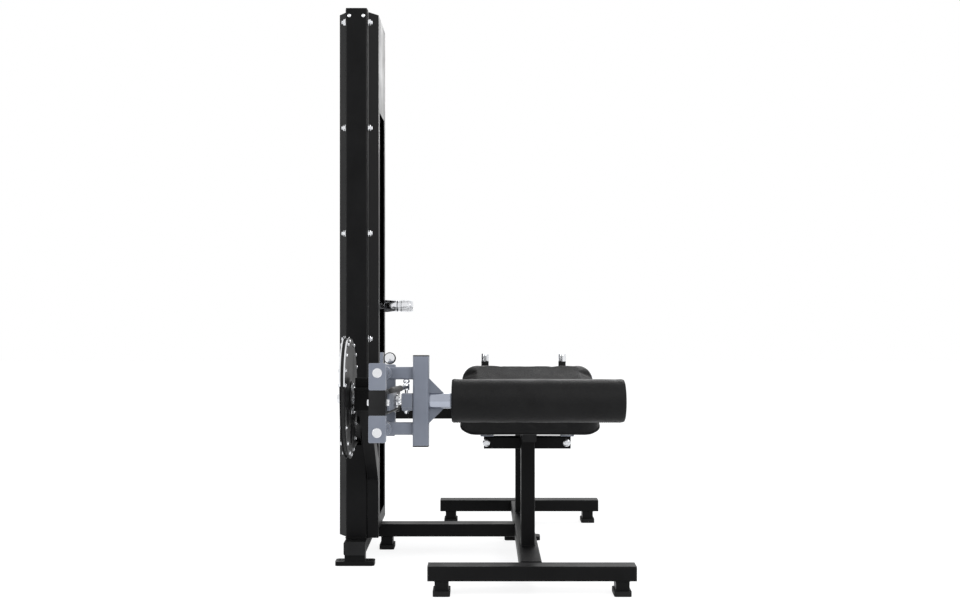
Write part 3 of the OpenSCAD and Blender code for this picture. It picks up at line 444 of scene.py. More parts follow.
def inflate(piece, voxel, pressure, cap, pinned_below, to_local):
    """Voxel remesh and a short cloth run, applied to the mesh, with each point's move capped."""
    bpy.context.view_layer.objects.active = piece
    piece.select_set(True)
    remesh = piece.modifiers.new("remesh", "REMESH")
    remesh.mode = "VOXEL"
    remesh.voxel_size = voxel
    bpy.ops.object.modifier_apply(modifier=remesh.name)
    before = [v.co.copy() for v in piece.data.vertices]
    group = piece.vertex_groups.new(name="pin")
    for v in piece.data.vertices:
        if (to_local @ v.co).z < pinned_below:
            group.add([v.index], 1.0, "REPLACE")
    cloth = piece.modifiers.new("cloth", "CLOTH")
    settings = cloth.settings
    settings.quality = 6
    settings.mass = 0.35
    settings.tension_stiffness = 22
    settings.compression_stiffness = 22
    settings.shear_stiffness = 12
    settings.bending_stiffness = 2.5
    settings.use_pressure = True
    settings.uniform_pressure_force = pressure
    settings.effector_weights.gravity = 0
    settings.vertex_group_mass = "pin"
    cloth.collision_settings.use_collision = False
    cloth.point_cache.frame_start = 1
    cloth.point_cache.frame_end = CLOTH_FRAMES
    for number in range(1, CLOTH_FRAMES + 1):
        SCENE.frame_set(number)
    bpy.ops.object.modifier_apply(modifier=cloth.name)
    SCENE.frame_set(1)
    for v, old in zip(piece.data.vertices, before):
        move = v.co - old
        if move.length > cap:
            v.co = old + move * (cap / move.length)
    smooth = piece.modifiers.new("smooth", "SMOOTH")
    smooth.factor = 0.5
    smooth.iterations = 6
    bpy.ops.object.modifier_apply(modifier=smooth.name)
    piece.select_set(False)


def cushion(name, node, width, length, thick, rise, tilt, middle_y, seed):
    """Crowned pad. rise is what its top gains in height from the middle to the end at the apex."""
    place = pad_matrix(tilt, middle_y)
    back = place.inverted()
    swell, crown, wave, most_pull = 0.006, 0.003, 0.0009, 0.004
    edge_r = min(0.040, thick * 0.46)
    bm = rounded_slab(width, length, thick - swell, plan_r=0.058, edge_r=edge_r, inset=0.003)
    bm.transform(place)
    piece = link_mesh(name, bm, "leather", "frame", angle=60)
    inflate(piece, voxel=0.005, pressure=4.0, cap=0.010, pinned_below=0.010, to_local=back)
    for v in piece.data.vertices:
        p = back @ v.co
        # Sides pull in between the corners, the top crowns, and the skin has slow waves
        across, down = p.x / (width / 2), p.y / (length / 2)
        rim = max(abs(across), abs(down))
        pull = most_pull * max(0.0, rim - 0.7) / 0.3 * (1 - min(abs(across), abs(down)) ** 2)
        if abs(across) > abs(down):
            p.x -= math.copysign(pull, p.x)
        else:
            p.y -= math.copysign(pull, p.y)
        if p.z > thick * 0.5:
            p.z += crown * (1 - across ** 2) * (1 - down ** 2)
            p.z += wave * noise.noise(Vector((p.x * 14 + seed, p.y * 14, 0)))
        p.z = min(p.z, thick + 0.002) * (1 + rise / thick * down)
        p.x = max(-width / 2, min(width / 2, p.x))
        p.y = max(-length / 2, min(length / 2, p.y))
        p.z = max(p.z, 0.0)
        v.co = place @ p
    sub = piece.modifiers.new("subdivision", "SUBSURF")
    sub.levels = 1
    sub.render_levels = 1
    piece.data.shade_smooth()
    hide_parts(node)
    # Welt low on the side, where the cover is sewn
    inset, welt_z = 0.004, 0.012
    rim = corner_arcs(width / 2 - inset, length / 2 - inset, 0.056, 12)
    welt = bmesh.new()
    tube_path(welt, [place @ Vector((x, y, welt_z)) for x, y in rim], 0.0022, closed=True)
    link_mesh(name + "_welt", welt, "leather", "frame")


THIGH_L, TORSO_L = 0.402, 0.780
cushion("thigh_cushion", "thigh_pad", width=0.490, length=THIGH_L, thick=0.094, rise=0.006, tilt=THIGH_TILT,
        middle_y=-THIGH_L / 2 - 0.020, seed=1.0)
cushion("torso_cushion", "torso_pad", width=0.270, length=TORSO_L, thick=0.068, rise=0.0, tilt=-9.0,
        middle_y=TORSO_L / 2 + 0.025, seed=5.0)


# Roller: leather sleeve with a stitched seam underneath and sewn end discs

ROLLER_X, ROLLER_L, ROLLER_R = 0.374, 0.555, 0.070


def roller_profile():
    """(radius, distance) points of the cover, from the near end disc's rim to the middle of the far one."""
    disc_r, disc_x, near_r, far_r = 0.049, 0.002, 0.008, 0.012
    flat = ROLLER_R - near_r - disc_r
    profile = [(disc_r, 0.010), (disc_r, disc_x)]
    profile += [(disc_r + flat * i / 3, 0.001 + 0.001 * i / 3) for i in range(1, 4)]
    for degrees in range(0, 91, 15):
        turn = math.radians(degrees)
        x = disc_x + near_r - near_r * math.cos(turn)
        profile.append((ROLLER_R - near_r + near_r * math.sin(turn), x))
    for i in range(1, 40):
        t = i / 40
        belly = 0.0006 * math.sin(math.pi * t)
        profile.append((ROLLER_R - 0.0006 + belly, 0.012 + (ROLLER_L - 0.030) * t))
    for degrees in range(0, 91, 15):
        turn = math.radians(degrees)
        x = ROLLER_L - 0.014 + 0.013 * math.sin(turn)
        profile.append((ROLLER_R - far_r + far_r * math.cos(turn), x))
    return profile + [(0.045, ROLLER_L - 0.0006), (0.02, ROLLER_L), (0, ROLLER_L)]


def roller():
    centre = on_arm(ROLLER_X, ROLLER_REACH)
    bm = bmesh.new()
    lathe(bm, roller_profile(), Matrix.Translation(centre) @ facing((1, 0, 0)), 96)
    piece = link_mesh("roller_cover", bm, "leather", "roller", angle=70)
    for v in piece.data.vertices:
        local = v.co - centre
        off = Vector((0, local.y, local.z))
        if off.length > 0.06 and 0.01 < local.x < ROLLER_L - 0.01:
            wave = noise.noise(Vector((local.x * 22, local.y * 16, local.z * 16)))
            v.co -= off.normalized() * (0.0007 + 0.0007 * wave)
    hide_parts("roller_pad")
    # Stitches on both sides of the seam underneath
    first, pitch, stitch_l, count, from_seam = 0.018, 0.0061, 0.0038, 86, 3.2
    for side in (-1, 1):
        stitches = bmesh.new()
        turn = math.radians(-90 + side * from_seam)
        sunk = ROLLER_R * 0.992
        for i in range(count):
            a = centre + Vector((first + i * pitch, sunk * math.cos(turn), sunk * math.sin(turn)))
            tube_path(stitches, [a, a + Vector((stitch_l, 0, 0))], 0.0007, 6)
        link_mesh("roller_stitch_%d" % (side + 1), stitches, "rubber", "roller")
    # Piping where the end discs are sewn on
    for number, x in enumerate((0.0045, ROLLER_L - 0.0055)):
        ring = bmesh.new()
        tube_path(ring, [centre + Vector((x, y, z)) for y, z in circle(0.0655, 72)], 0.0022, closed=True)
        link_mesh("roller_piping_%d" % number, ring, "leather", "roller")


roller()


# Belts: narrow ribbed bands

DRIVE_X = 0.0135
BELT_W = 0.0105
BELT_T = 0.004


def band(name, node, path):
    """Ribbed band along (x, y, z, ny, nz): a point of its centre line and the direction of its plain side."""
    ribs, rib_h = 8, 0.0008
    section = [(k, -BELT_T / 2 + (0 if k % 2 else rib_h)) for k in range(ribs + 1)]
    section += [(ribs, BELT_T / 2), (0, BELT_T / 2)]
    bm = bmesh.new()
    rings = []
    for x, y, z, ny, nz in path:
        rings.append([bm.verts.new((x - BELT_W / 2 + BELT_W * k / ribs, y + ny * off, z + nz * off))
                      for k, off in section])
    skin(bm, rings)
    piece = link_mesh(name, bm, "belt", "frame", angle=30)
    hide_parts(node)
    return piece


def belts():
    low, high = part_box("belt_drop")
    rows = 100
    drop = [(0, 0, high.z - (high.z - low.z) * i / rows, -1, 0) for i in range(rows + 1)]
    piece = band("drop_belt", "belt_drop", drop)
    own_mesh(piece)
    # From under the cam to the pulley in the upright, up inside the tower and over the top pulleys
    wheel, run_z = 0.0404, 0.4516
    low_y, low_z, top_z = -0.2414, 0.492, 1.960
    front_y, rear_y = -0.1606, -0.0404
    arc = [(math.sin(math.radians(a)), math.cos(math.radians(a))) for a in range(0, 91, 10)]
    path = []
    for i in range(25):
        y = PIVOT.y + (low_y - PIVOT.y) * i / 24
        # The band leaves the cam's line and comes to the pulley's over this stretch
        aside = min(1.0, max(0.0, (y + 0.59) / 0.31))
        path.append((DRIVE_X * (1 - aside), y, run_z, 0, -1))
    path += [(0, low_y + wheel * s, low_z - wheel * c, s, -c) for s, c in arc[1:]]
    path += [(0, front_y - wheel, low_z + (top_z - low_z) * i / 20, 1, 0) for i in range(1, 20)]
    path += [(0, front_y - wheel * c, top_z + wheel * s, -c, s) for s, c in arc]
    path += [(0, rear_y + wheel * s, top_z + wheel * c, s, c) for s, c in arc[1:]]
    band("drive_belt", "lift_belt", path)


belts()


# Bolts, nuts and screws

def hexagon(bm, place, radius, height, chamfer=0.0012):
    """Hexagon prism on z = 0 of a matrix, with a chamfered top."""
    rings = []
    for r, z in ((radius, 0), (radius, height - chamfer), (radius - chamfer * 1.4, height)):
        rings.append([bm.verts.new(place @ Vector((x, y, z))) for x, y in circle(r, 6)])
    skin(bm, rings)


def washer(bm, place, radius, height):
    edge = min(0.0006, height / 3)
    lathe(bm, [(0, 0), (radius - edge, 0), (radius, edge), (radius, height - edge), (radius - edge, height),
               (0, height)], place, 40)


def washered_nut(bm, place, washer_r, washer_t, nut_r, nut_t):
    """Nut or bolt head on a washer."""
    washer(bm, place, washer_r, washer_t)
    hexagon(bm, lifted(place, washer_t), nut_r, nut_t)


def stud(bm, place, radius, start, end, pitch=0.0016):
    """Threaded end of a bolt: ridges, then a rounded tip."""
    root = radius - 0.0007
    profile = [(0, start)]
    count = int((end - start - 0.002) / pitch)
    for i in range(count):
        z = start + i * pitch
        profile += [(root, z), (radius, z + pitch / 2)]
    profile += [(root, start + count * pitch), (radius - 0.002, end - 0.0004), (0, end)]
    lathe(bm, profile, place, 28)


def socket_screw(bm, place, radius, height, socket):
    """Domed head with a sunk cup of six sides."""
    count = 40
    lathe(bm, [(0, 0), (radius, 0), (radius, height * 0.35), (radius * 0.93, height * 0.65),
               (radius * 0.72, height * 0.9), (socket * 1.2, height)], place, count)
    six_sides = [circle(socket, 6)[round(i * 6 / count) % 6] for i in range(count)]
    rings = [[bm.verts.new(place @ Vector((x, y, z))) for x, y in points]
             for points, z in ((circle(socket * 1.2, count), height), (six_sides, height - 0.0003),
                               (six_sides, height * 0.4))]
    ring_faces(bm, rings[0], rings[1])
    ring_faces(bm, rings[1], rings[2])
    bm.faces.new(rings[2])


def tower_bolts():
    """Five rows of nuts through the covers' flanges, and the screws of the top beam."""
    flange_x, flange_y, first_z, row_gap, rows = 0.042, 0.245, 0.440, 0.400, 5
    washer_t, nut_t, stud_l = 0.003, 0.007, 0.007
    nut_top = washer_t + nut_t
    bm = bmesh.new()
    for row in range(rows):
        for y in (-flange_y, flange_y):
            for side in (-1, 1):
                place = at(side * flange_x, y, first_z + row * row_gap, (side, 0, 0))
                washered_nut(bm, place, washer_r=0.0135, washer_t=washer_t, nut_r=0.0115, nut_t=nut_t)
                stud(bm, place, 0.007, nut_top, nut_top + stud_l)
    for x in (-0.0265, 0.0265):
        for side in (-1, 1):
            place = at(x, side * 0.275, 2.059, (0, side, 0))
            socket_screw(bm, place, radius=0.0065, height=0.0032, socket=0.0022)
    bmesh.ops.remove_doubles(bm, verts=bm.verts, dist=1e-6)
    piece = link_mesh("frame_bolt_heads", bm, "chrome", "frame", angle=28)
    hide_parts("frame_bolts")


def crossbar_bolts():
    """Round heads on the cross tube under the thigh pad, with a nut behind each."""
    front_y, rear_y, z = -0.380, -0.335, 0.4625
    head = [(0, 0), (0.0142, 0), (0.0145, 0.0006), (0.0145, 0.0030), (0.0138, 0.0046), (0.0120, 0.0060),
            (0.0085, 0.0070), (0.0080, 0.0064), (0.0060, 0.0064), (0.0055, 0.0072), (0, 0.0078)]
    bm = bmesh.new()
    for x in (0.490, 0.785):
        lathe(bm, head, at(x, front_y, z, (0, -1, 0)), 48)
        back = at(x, rear_y, z, (0, 1, 0))
        washered_nut(bm, back, washer_r=0.011, washer_t=0.0025, nut_r=0.0095, nut_t=0.0075)
    link_mesh("crossbar_bolts", bm, "zinc", "frame", angle=28)


tower_bolts()
crossbar_bolts()


# Knurled grips

def knurl(bm, place, radius, start, end, depth=0.0007, around=36, segments=144):
    """Sleeve with a diamond pattern cut by two crossing helices, with smooth lips at both ends."""
    row_h, helix_pitch = 0.0011, 0.0085
    rows = max(4, int((end - start) / row_h))
    rings = []
    for row in range(rows + 1):
        z = start + (end - start) * row / rows
        wave = 2 * math.pi * (z - start) / helix_pitch
        ring = []
        for i in range(segments):
            turn = 2 * math.pi * i / segments
            cut = min(abs(math.sin(turn * around / 2 + wave)), abs(math.sin(turn * around / 2 - wave)))
            r = radius - depth * (1 - cut) if 0 < row < rows else radius - depth
            ring.append(bm.verts.new(place @ Vector((r * math.cos(turn), r * math.sin(turn), z))))
        rings.append(ring)
    skin(bm, rings)


def selector_knob():
    """Pin through the head plate, a thick part, and a knurled knob between two lips."""
    stack_z, plates, plate_t, gap, head_t = 0.160, 20, 0.039, 0.0004, 0.045
    knob_r, groove_r, knurl_x0, knurl_x1 = 0.024, 0.0225, 0.1525, 0.189
    place = at(0, 0, stack_z + plates * plate_t + gap + head_t / 2, (1, 0, 0))
    bm = bmesh.new()
    pin = [(0, -0.020), (0.0042, -0.0192), (0.005, -0.0175), (0.005, 0.0506), (0.0125, 0.0506),
           (0.013, 0.0516), (0.013, 0.0835)]
    thick = [(0.019, 0.0835), (0.0225, 0.0850), (knob_r, 0.0885), (knob_r, 0.1340), (0.0230, 0.1350),
             (0.0235, 0.1365), (knob_r, 0.1385)]
    lips = [(knob_r, 0.1405), (groove_r, 0.1415), (groove_r, 0.1480), (knob_r, 0.1490), (knob_r, 0.1515),
            (groove_r, knurl_x0), (0, knurl_x0)]
    lathe(bm, pin + thick + lips, place, 72)
    knurl(bm, place, knob_r, knurl_x0, knurl_x1)
    lathe(bm, [(0, knurl_x1), (groove_r, knurl_x1), (knob_r, 0.190), (knob_r, 0.1955), (0.0225, 0.198),
               (0.019, 0.199), (0.010, 0.1988), (0.0085, 0.1975), (0, 0.1975)], place, 72)
    piece = link_mesh("selector_knob", bm, "chrome", "selector", angle=30)
    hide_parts("selector_pin")


selector_knob()


def handles():
    """Grooved grips with knurled chrome tops, one on each side of the bench."""
    handle_y, from_middle, grip_z, grip_h, radius = 0.010, 0.154, 0.632, 0.110, 0.015
    sleeve = [(0.0132, 0.0), (0.0140, 0.0004), (radius, 0.0016)]
    for i in range(20):
        z = 0.004 + i * 0.0051
        sleeve += [(radius, z), (0.0141, z + 0.0009), (0.0141, z + 0.0018), (radius, z + 0.0027)]
    sleeve += [(radius, grip_h - 0.0015), (0.0140, grip_h - 0.0003), (0.0132, grip_h)]
    lid = [(0, 0.024), (0.0145, 0.024), (radius, 0.0246), (radius, 0.0285), (0.0138, 0.0306),
           (0.0115, 0.0318), (0, 0.032)]
    grips, caps = bmesh.new(), bmesh.new()
    for side in (-1, 1):
        place = at(BENCH_X + side * from_middle, handle_y, grip_z)
        lathe(grips, sleeve, place, 48)
        top = lifted(place, grip_h)
        knurl(caps, top, radius, 0.0002, 0.024, depth=0.0006, around=28, segments=112)
        lathe(caps, lid, top, 48)
    piece = link_mesh("handle_sleeves", grips, "rubber", "frame", angle=40)
    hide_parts("handle_grips")
    piece = link_mesh("handle_tops", caps, "chrome", "frame", angle=30)
    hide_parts("handle_caps")


handles()


# Cam: two thin plates with a lobe toward the foot end, a core between them, bright edges and bolts

CAM_R, LOBE_R = 0.205, 0.140
LOBE_STEPS = 28


def cam_outline(inset):
    """Points (y, z) from the pivot, round a disc and a lobe joined by tangents. The lobe comes first."""
    disc, lobe, out, axis = CAM_R - inset, LOBE_R - inset, 0.105, 45
    turn = math.degrees(math.acos((disc - lobe) / out))
    rest, disc_steps = 360 - 2 * turn, 3 * LOBE_STEPS

    def toward(angle):
        """Direction at an angle up from the foot end."""
        return Vector((-math.cos(math.radians(angle)), math.sin(math.radians(angle))))

    centre = toward(axis) * out
    points = [centre + toward(axis - turn + 2 * turn * i / LOBE_STEPS) * lobe for i in range(LOBE_STEPS + 1)]
    return points + [toward(axis + turn + rest * i / disc_steps) * disc for i in range(disc_steps + 1)]


def plate(bm, rims, x0, x1):
    """Flat plate square to X, placed from the pivot. The first rim is its outline, the others are holes."""
    triangles = tessellate_polygon([[Vector((p.x, p.y, 0)) for p in rim] for rim in rims])
    ends = [[bm.verts.new((x, PIVOT.y + p.x, PIVOT.z + p.y)) for rim in rims for p in rim] for x in (x0, x1)]
    for triangle in triangles:
        for end in ends:
            bm.faces.new([end[i] for i in triangle])
    start = 0
    for rim in rims:
        ring_faces(bm, ends[0][start:start + len(rim)], ends[1][start:start + len(rim)])
        start += len(rim)


def cam():
    sides = ((0.0048, 0.0078), (0.0192, 0.0222))
    core_inset, window_out, window_r = 0.015, 0.120, 0.036
    windows = []
    for degrees in (205, 270, 335):
        turn = math.radians(degrees)
        middle = Vector((math.cos(turn), math.sin(turn))) * window_out
        windows.append([middle + Vector(point) for point in circle(window_r, 40)])
    bm = bmesh.new()
    for x0, x1 in sides:
        plate(bm, [cam_outline(0)] + windows, x0, x1)
    plate(bm, [cam_outline(core_inset)] + windows, 0.0070, 0.0200)
    # Hub with a flange on both sides
    flange_r, flange_x = 0.061, 0.0125
    half = [(flange_r, 0.0085), (flange_r, flange_x - 0.001), (flange_r - 0.0015, flange_x), (0, flange_x)]
    lathe(bm, [(r, -x) for r, x in reversed(half)] + [(0.036, -0.0085), (0.036, 0.0085)] + half,
          at(DRIVE_X, PIVOT.y, PIVOT.z, (1, 0, 0)), 72)
    piece = link_mesh("cam_plates", bm, "frame_black", "arm", angle=30)
    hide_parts("cam")
    # Machined edges of the lobe
    bm = bmesh.new()
    inner, outer = cam_outline(0.0015)[:LOBE_STEPS + 1], cam_outline(-0.0015)[:LOBE_STEPS + 1]
    for x0, x1 in sides:
        plate(bm, [outer + list(reversed(inner))], x0 - 0.0006, x1 + 0.0006)
    link_mesh("cam_edges", bm, "chrome", "arm", angle=30)
    # The belt that is wound on it
    bm = bmesh.new()
    plate(bm, [cam_outline(core_inset - 0.0042), cam_outline(core_inset - 0.0002)],
          DRIVE_X - BELT_W / 2, DRIVE_X + BELT_W / 2)
    piece = link_mesh("cam_band", bm, "belt", "arm", angle=30)
    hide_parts("cam_belt")
    # Bolts along the edge and through the hub's flanges
    bm = bmesh.new()
    edge_bolts = 17
    line = cam_outline(0.014)
    for k in range(edge_bolts):
        point = line[k * len(line) // edge_bolts]
        for side in (-1, 1):
            place = at(DRIVE_X + side * 0.0087, PIVOT.y + point.x, PIVOT.z + point.y, (side, 0, 0))
            washered_nut(bm, place, washer_r=0.0072, washer_t=0.001, nut_r=0.006, nut_t=0.0045)
    for y in (-0.028, 0.028):
        for z in (-0.040, 0.040):
            for side in (-1, 1):
                place = at(DRIVE_X + side * flange_x, PIVOT.y + y, PIVOT.z + z, (side, 0, 0))
                washered_nut(bm, place, washer_r=0.0115, washer_t=0.0015, nut_r=0.0095, nut_t=0.0075)
                stud(bm, place, 0.0055, 0.009, 0.012)
    piece = link_mesh("cam_bolt_heads", bm, "chrome", "arm", angle=28)
    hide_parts("cam_bolts")


cam()


def pivot_axle():
    """Shaft with a washer and a nut on its outer end."""
    radius, thread_r, tip_x, nut_x = 0.0175, 0.0155, -0.0260, -0.0038
    inner_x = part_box("pivot_shaft")[1].x
    bm = bmesh.new()
    place = at(0, PIVOT.y, PIVOT.z, (1, 0, 0))
    lathe(bm, [(0, tip_x), (thread_r - 0.002, tip_x), (thread_r, tip_x + 0.002), (thread_r, -0.0060),
               (radius, -0.0055), (radius, inner_x), (0, inner_x)], place, 48)
    washer(bm, lifted(place, nut_x), 0.027, 0.0035)
    hexagon(bm, at(nut_x, PIVOT.y, PIVOT.z, (-1, 0, 0)), 0.0245, 0.0125, 0.002)
    piece = link_mesh("pivot_axle", bm, "chrome", "arm", angle=30)
    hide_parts("pivot_shaft")


pivot_axle()


# Latch: a block that hides the pin, and the pin with its head and hand lever

def latch():
    base = arm_matrix(0.232, ROLLER_REACH + 0.020)
    # The block and the plate under it
    bm = bmesh.new()
    block(bm, base, (-0.0155, -0.0115, -0.024), (0.0205, 0.040, 0.024), 0.0022)
    block(bm, base, (-0.0135, -0.0100, -0.0305), (0.0205, 0.040, -0.023), 0.0012)
    piece = link_mesh("latch_housing", bm, "blue_grey", "carriage", angle=30)
    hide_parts("latch_block")
    # The pin's end below the block, then its neck, collar and round head above it
    bm = bmesh.new()
    lathe(bm, [(0, -0.0410), (0.0030, -0.0408), (0.0095, -0.0322), (0.0095, -0.0310), (0, -0.0310)], base, 40)
    neck_r = 0.0050
    collar = [(neck_r, 0.0340), (0.0092, 0.0345), (0.0098, 0.036), (0.0098, 0.052), (0.0092, 0.0535),
              (neck_r, 0.054)]
    head = [(neck_r, 0.0560), (0.0062, 0.0565), (0.0090, 0.058), (0.0104, 0.0602), (0.0106, 0.0622),
            (0.0098, 0.0655), (0.0072, 0.0680), (0.0035, 0.0690), (0, 0.0691)]
    lathe(bm, [(0, 0.0245), (neck_r, 0.0245)] + collar + head, base, 40)
    # Hand lever from the collar toward the foot end, with a grooved grip
    bar_r, bar_end, grip_r, groove_r, tip = 0.0073, 0.1000, 0.0093, 0.0086, 0.2400
    aim = lifted(base, 0.044) @ facing((-0.132, -0.990, -0.033))
    lathe(bm, [(0, 0.002), (bar_r, 0.002), (bar_r, bar_end), (0, bar_end)], aim, 40)
    piece = link_mesh("hand_lever", bm, "chrome", "lever", angle=35)
    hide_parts("latch_lever")
    bm = bmesh.new()
    profile = [(0.0060, 0.0960), (0.0085, 0.0962), (grip_r, 0.0975)]
    for i in range(16):
        z = 0.102 + i * 0.0081
        profile += [(grip_r, z), (groove_r, z + 0.0010), (groove_r, z + 0.0020), (grip_r, z + 0.0030)]
    profile += [(grip_r, tip - 0.0070), (0.0085, tip - 0.0032), (0.0062, tip - 0.0008), (0.0030, tip),
                (0, tip + 0.0001)]
    lathe(bm, profile, aim, 48)
    link_mesh("lever_grip", bm, "grip_grey", "lever", angle=35)


latch()


# Small parts: rail plug, stop bumper, shaft sleeve, bolt through the arm

def rail_cap():
    """Plug that closes the foot end of the rail under the thigh cushion."""
    end_y, half_rail = -0.342, 0.025
    place = lifted(pad_matrix(THIGH_TILT, end_y), -BOARD_T - half_rail)
    bm = bmesh.new()
    block(bm, place, (-0.0245, -0.0026, -0.0245), (0.0245, 0.0030, 0.0245), 0.0012)
    block(bm, place, (-0.0180, -0.0034, -0.0180), (0.0180, 0.0010, 0.0180), 0.0008)
    link_mesh("rail_cap", bm, "plastic", "frame", angle=30)


rail_cap()


def bumper():
    """Rubber ring with a bright domed face."""
    low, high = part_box("stop_bumper")
    place = Matrix.Translation((low + high) / 2) @ facing(ALONG)
    rubber = bmesh.new()
    lathe(rubber, [(0, -0.013), (0.016, -0.013), (0.0195, -0.011), (0.0195, 0.006), (0.0185, 0.008),
                   (0.0178, 0.0084), (0.0172, 0.0075), (0, 0.0075)], place, 56)
    face = bmesh.new()
    lathe(face, [(0, 0.0060), (0.0170, 0.0060), (0.0172, 0.0090), (0.0164, 0.0104), (0.0135, 0.0112),
                 (0, 0.0116)], place, 56)
    piece = link_mesh("bumper_ring", rubber, "rubber", "arm", angle=35)
    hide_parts("stop_bumper")
    link_mesh("bumper_face", face, "chrome", "arm", angle=35)


bumper()


def shaft_sleeve():
    """Glossy sleeve over the roller's shaft between the post and the roller, with a collar at each end."""
    inner, outer = SHAFT_R - 0.0005, SHAFT_R + 0.0006
    start, end = POST_X1 + 0.0005, ROLLER_X - 0.002
    bm = bmesh.new()
    lathe(bm, [(inner, start), (0.0252, start), (0.0256, 0.3042), (0.0256, 0.3068), (outer, 0.3074),
               (outer, 0.3690), (0.0252, 0.3694), (0.0252, 0.3716), (inner, end)],
          arm_matrix(0, ROLLER_REACH) @ facing((1, 0, 0)), 72)
    link_mesh("shaft_sleeve", bm, "blue_gloss", "carriage", angle=30)


shaft_sleeve()


def arm_bolt():
    """Chrome bolt through the arm near its end."""
    bm = bmesh.new()
    for side in (-1, 1):
        place = arm_matrix(ARM_X + side * ARM_W / 2, 0.580) @ facing((side, 0, 0))
        washered_nut(bm, place, washer_r=0.0110, washer_t=0.0016, nut_r=0.0092, nut_t=0.0065)
    link_mesh("arm_bolt", bm, "chrome", "arm", angle=28)


arm_bolt()


# Weld beads where tubes meet

def weld(bm, corners, bead=0.0026, closed=True):
    """Rippled bead along straight runs between corners."""
    step = 0.0026
    points = []
    count = len(corners)
    for i in range(count if closed else count - 1):
        a, b = Vector(corners[i]), Vector(corners[(i + 1) % count])
        steps = max(2, int((b - a).length / step))
        points += [a.lerp(b, k / steps) for k in range(steps)]
    if not closed:
        points.append(Vector(corners[-1]))
    tube_path(bm, points, bead, 6, closed, ripple=0.86)


def cut_corners(w, d, r):
    """Points (x, y) round a rectangle with cut corners."""
    w, d = w / 2, d / 2
    return [(w - r, d), (r - w, d), (-w, d - r), (-w, r - d),
            (r - w, -d), (w - r, -d), (w, r - d), (w, d - r)]


def loop_z(x, y, z, w, d, r=0.005):
    """Corners of a run round a tube that stands along Z. loop_x and loop_y do the same for X and Y."""
    return [(x + a, y + b, z) for a, b in cut_corners(w, d, r)]


def loop_x(x, y, z, w, h, r=0.005):
    return [(x, y + b, z + a) for a, b in cut_corners(h, w, r)]


def loop_y(x, y, z, w, h, r=0.005):
    return [(x + a, y, z + b) for a, b in cut_corners(w, h, r)]


def frame_welds():
    """Beads on the base, the columns and the feet."""
    tube_w, tube_h, tube_z, tower_base_top, foot_top = 0.075, 0.050, 0.074, 0.091, 0.016
    tube_top, tube_low = tube_z + tube_h / 2, tube_z - tube_h / 2
    bm = bmesh.new()
    # Columns on the spine, and uprights on the tower's base
    for y in (-0.4175, 0.2845):
        weld(bm, loop_z(BENCH_X, y, tube_top, tube_h, tube_w))
    for y in (-0.245, 0.245):
        weld(bm, loop_z(0, y, tower_base_top, 0.080, 0.060))
    # Spine between the crossbars, and the link tube between the tower and the spine
    for y in (-0.730, 0.536):
        weld(bm, loop_y(BENCH_X, y, tube_z, tube_w, tube_h))
    for x in (BENCH_X - tube_w / 2, 0.040):
        weld(bm, loop_x(x, 0, tube_z, tube_w, tube_h))
    # Feet of the tower, of the crossbars and of the spine
    for y in (-0.312, 0.312):
        weld(bm, loop_z(0, y, foot_top, 0.076, 0.052, 0.003))
    for x, y in ((0.337, -0.7675), (0.943, -0.7675), (0.337, 0.5735), (0.943, 0.5735)):
        weld(bm, loop_z(x, y, tube_low, 0.046, 0.071, 0.003), 0.002)
    weld(bm, loop_z(BENCH_X, 0.168, foot_top, 0.071, 0.052, 0.003))
    # Column on the cross tube under the thigh pad
    weld(bm, loop_y(BENCH_X, -0.380, 0.4625, 0.052, 0.047, 0.004))
    link_mesh("frame_welds", bm, "frame_black", "frame", angle=60)


frame_welds()


def carriage_welds():
    """Beads where the bars and the shaft meet the post, and along the shaft's gussets."""
    post_x0, bar_up, bar_s = POST_X1 - POST_W, 0.088, 0.040
    post_weld_x, shaft_weld_r = POST_X1 + 0.0005, SHAFT_R + 0.0005
    bm = bmesh.new()
    corners = cut_corners(bar_s, bar_s, 0.005)
    corners = corners[-1:] + corners[:-1]
    for up in (-bar_up, bar_up):
        weld(bm, [on_arm(post_x0, ROLLER_REACH - a, up + b) for a, b in corners], 0.002)
    weld(bm, [on_arm(POST_X1, ROLLER_REACH + a, b) for a, b in circle(shaft_weld_r, 40)], 0.002)
    for sign in (-1, 1):
        for side in (-0.003, 0.003):
            reach = ROLLER_REACH - side
            up_post = [on_arm(post_weld_x, reach, sign * up) for up in (0.028, 0.070)]
            weld(bm, up_post, 0.0015, closed=False)
            along_shaft = [on_arm(x, reach, sign * shaft_weld_r) for x in (0.307, 0.349)]
            weld(bm, along_shaft, 0.0015, closed=False)
    link_mesh("carriage_welds", bm, "blue_grey", "carriage", angle=60)


carriage_welds()


# Floor and light

def stage_plane(name, size, z):
    """Square plane of the stage, for the floor."""
    bm = bmesh.new()
    bmesh.ops.create_grid(bm, x_segments=8, y_segments=8, size=size)
    mesh = bpy.data.meshes.new(name)
    bm.to_mesh(mesh)
    bm.free()
    made = bpy.data.objects.new(name, mesh)
    made.location.z = z
    SCENE.collection.objects.link(made)
    return made


def seen_directly(tree):
    """1 where the camera, a reflection or a refraction sees the surface, else 0."""
    ray = add(tree, "ShaderNodeLightPath")
    total = ray.outputs["Is Camera Ray"]
    for kind in ("Is Glossy Ray", "Is Transmission Ray"):
        step = add(tree, "ShaderNodeMath", operation="MAXIMUM")
        tree.links.new(total, step.inputs[0])
        tree.links.new(ray.outputs[kind], step.inputs[1])
        total = step.outputs[0]
    return total


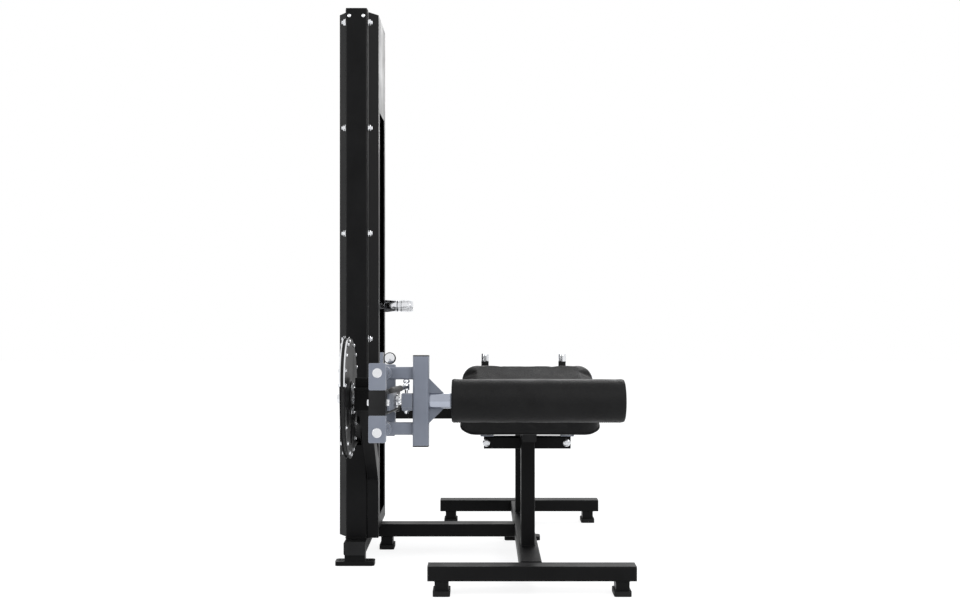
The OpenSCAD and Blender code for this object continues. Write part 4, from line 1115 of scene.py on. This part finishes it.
def floor_material(name, glow, paint):
    """White to the camera and in reflections, with the object's shadow left faint on it."""
    made = bpy.data.materials.new(name)
    made.use_nodes = True
    tree = made.node_tree
    tree.nodes.clear()
    out = add(tree, "ShaderNodeOutputMaterial")
    plain = add(tree, "ShaderNodeBsdfDiffuse")
    plain.inputs["Color"].default_value = (0.8, 0.8, 0.8, 1)
    shaded = add(tree, "ShaderNodeBsdfDiffuse")
    shaded.inputs["Color"].default_value = (paint, paint, paint, 1)
    light = add(tree, "ShaderNodeEmission")
    light.inputs["Strength"].default_value = glow
    both = add(tree, "ShaderNodeAddShader")
    tree.links.new(shaded.outputs[0], both.inputs[0])
    tree.links.new(light.outputs[0], both.inputs[1])
    mix = add(tree, "ShaderNodeMixShader")
    tree.links.new(seen_directly(tree), mix.inputs["Fac"])
    tree.links.new(plain.outputs[0], mix.inputs[1])
    tree.links.new(both.outputs[0], mix.inputs[2])
    tree.links.new(mix.outputs[0], out.inputs["Surface"])
    return made


floor = stage_plane("floor", size=14.0, z=-0.0005)
floor.data.materials.append(floor_material("floor_white", glow=0.85, paint=0.3))

world = bpy.data.worlds.new("world")
SCENE.world = world
world.use_nodes = True
tree = world.node_tree
tree.nodes.clear()
out = add(tree, "ShaderNodeOutputWorld")
room = add(tree, "ShaderNodeBackground")
room.inputs["Color"].default_value = (0.95, 0.97, 1.0, 1)
room.inputs["Strength"].default_value = 0.75
white = add(tree, "ShaderNodeBackground")
white.inputs["Color"].default_value = (1, 1, 1, 1)
white.inputs["Strength"].default_value = 1.0
mix = add(tree, "ShaderNodeMixShader")
tree.links.new(seen_directly(tree), mix.inputs["Fac"])
tree.links.new(room.outputs[0], mix.inputs[1])
tree.links.new(white.outputs[0], mix.inputs[2])
tree.links.new(mix.outputs[0], out.inputs["Surface"])


def area_light(name, place, target, size, power):
    data = bpy.data.lights.new(name, "AREA")
    data.shape = "RECTANGLE"
    data.size, data.size_y = size
    data.energy = power
    made = bpy.data.objects.new(name, data)
    made.location = place
    aim = Vector(target) - Vector(place)
    made.rotation_euler = aim.to_track_quat("-Z", "Y").to_euler()
    SCENE.collection.objects.link(made)


area_light("key", place=(2.6, -3.6, 3.4), target=(0.5, -0.4, 0.7), size=(2.4, 2.4), power=90)
area_light("fill", place=(-3.0, -2.2, 2.2), target=(0.2, -0.3, 0.9), size=(2.2, 2.8), power=60)
area_light("back", place=(1.5, 3.5, 3.0), target=(0.5, 0.0, 1.0), size=(3.0, 2.0), power=60)
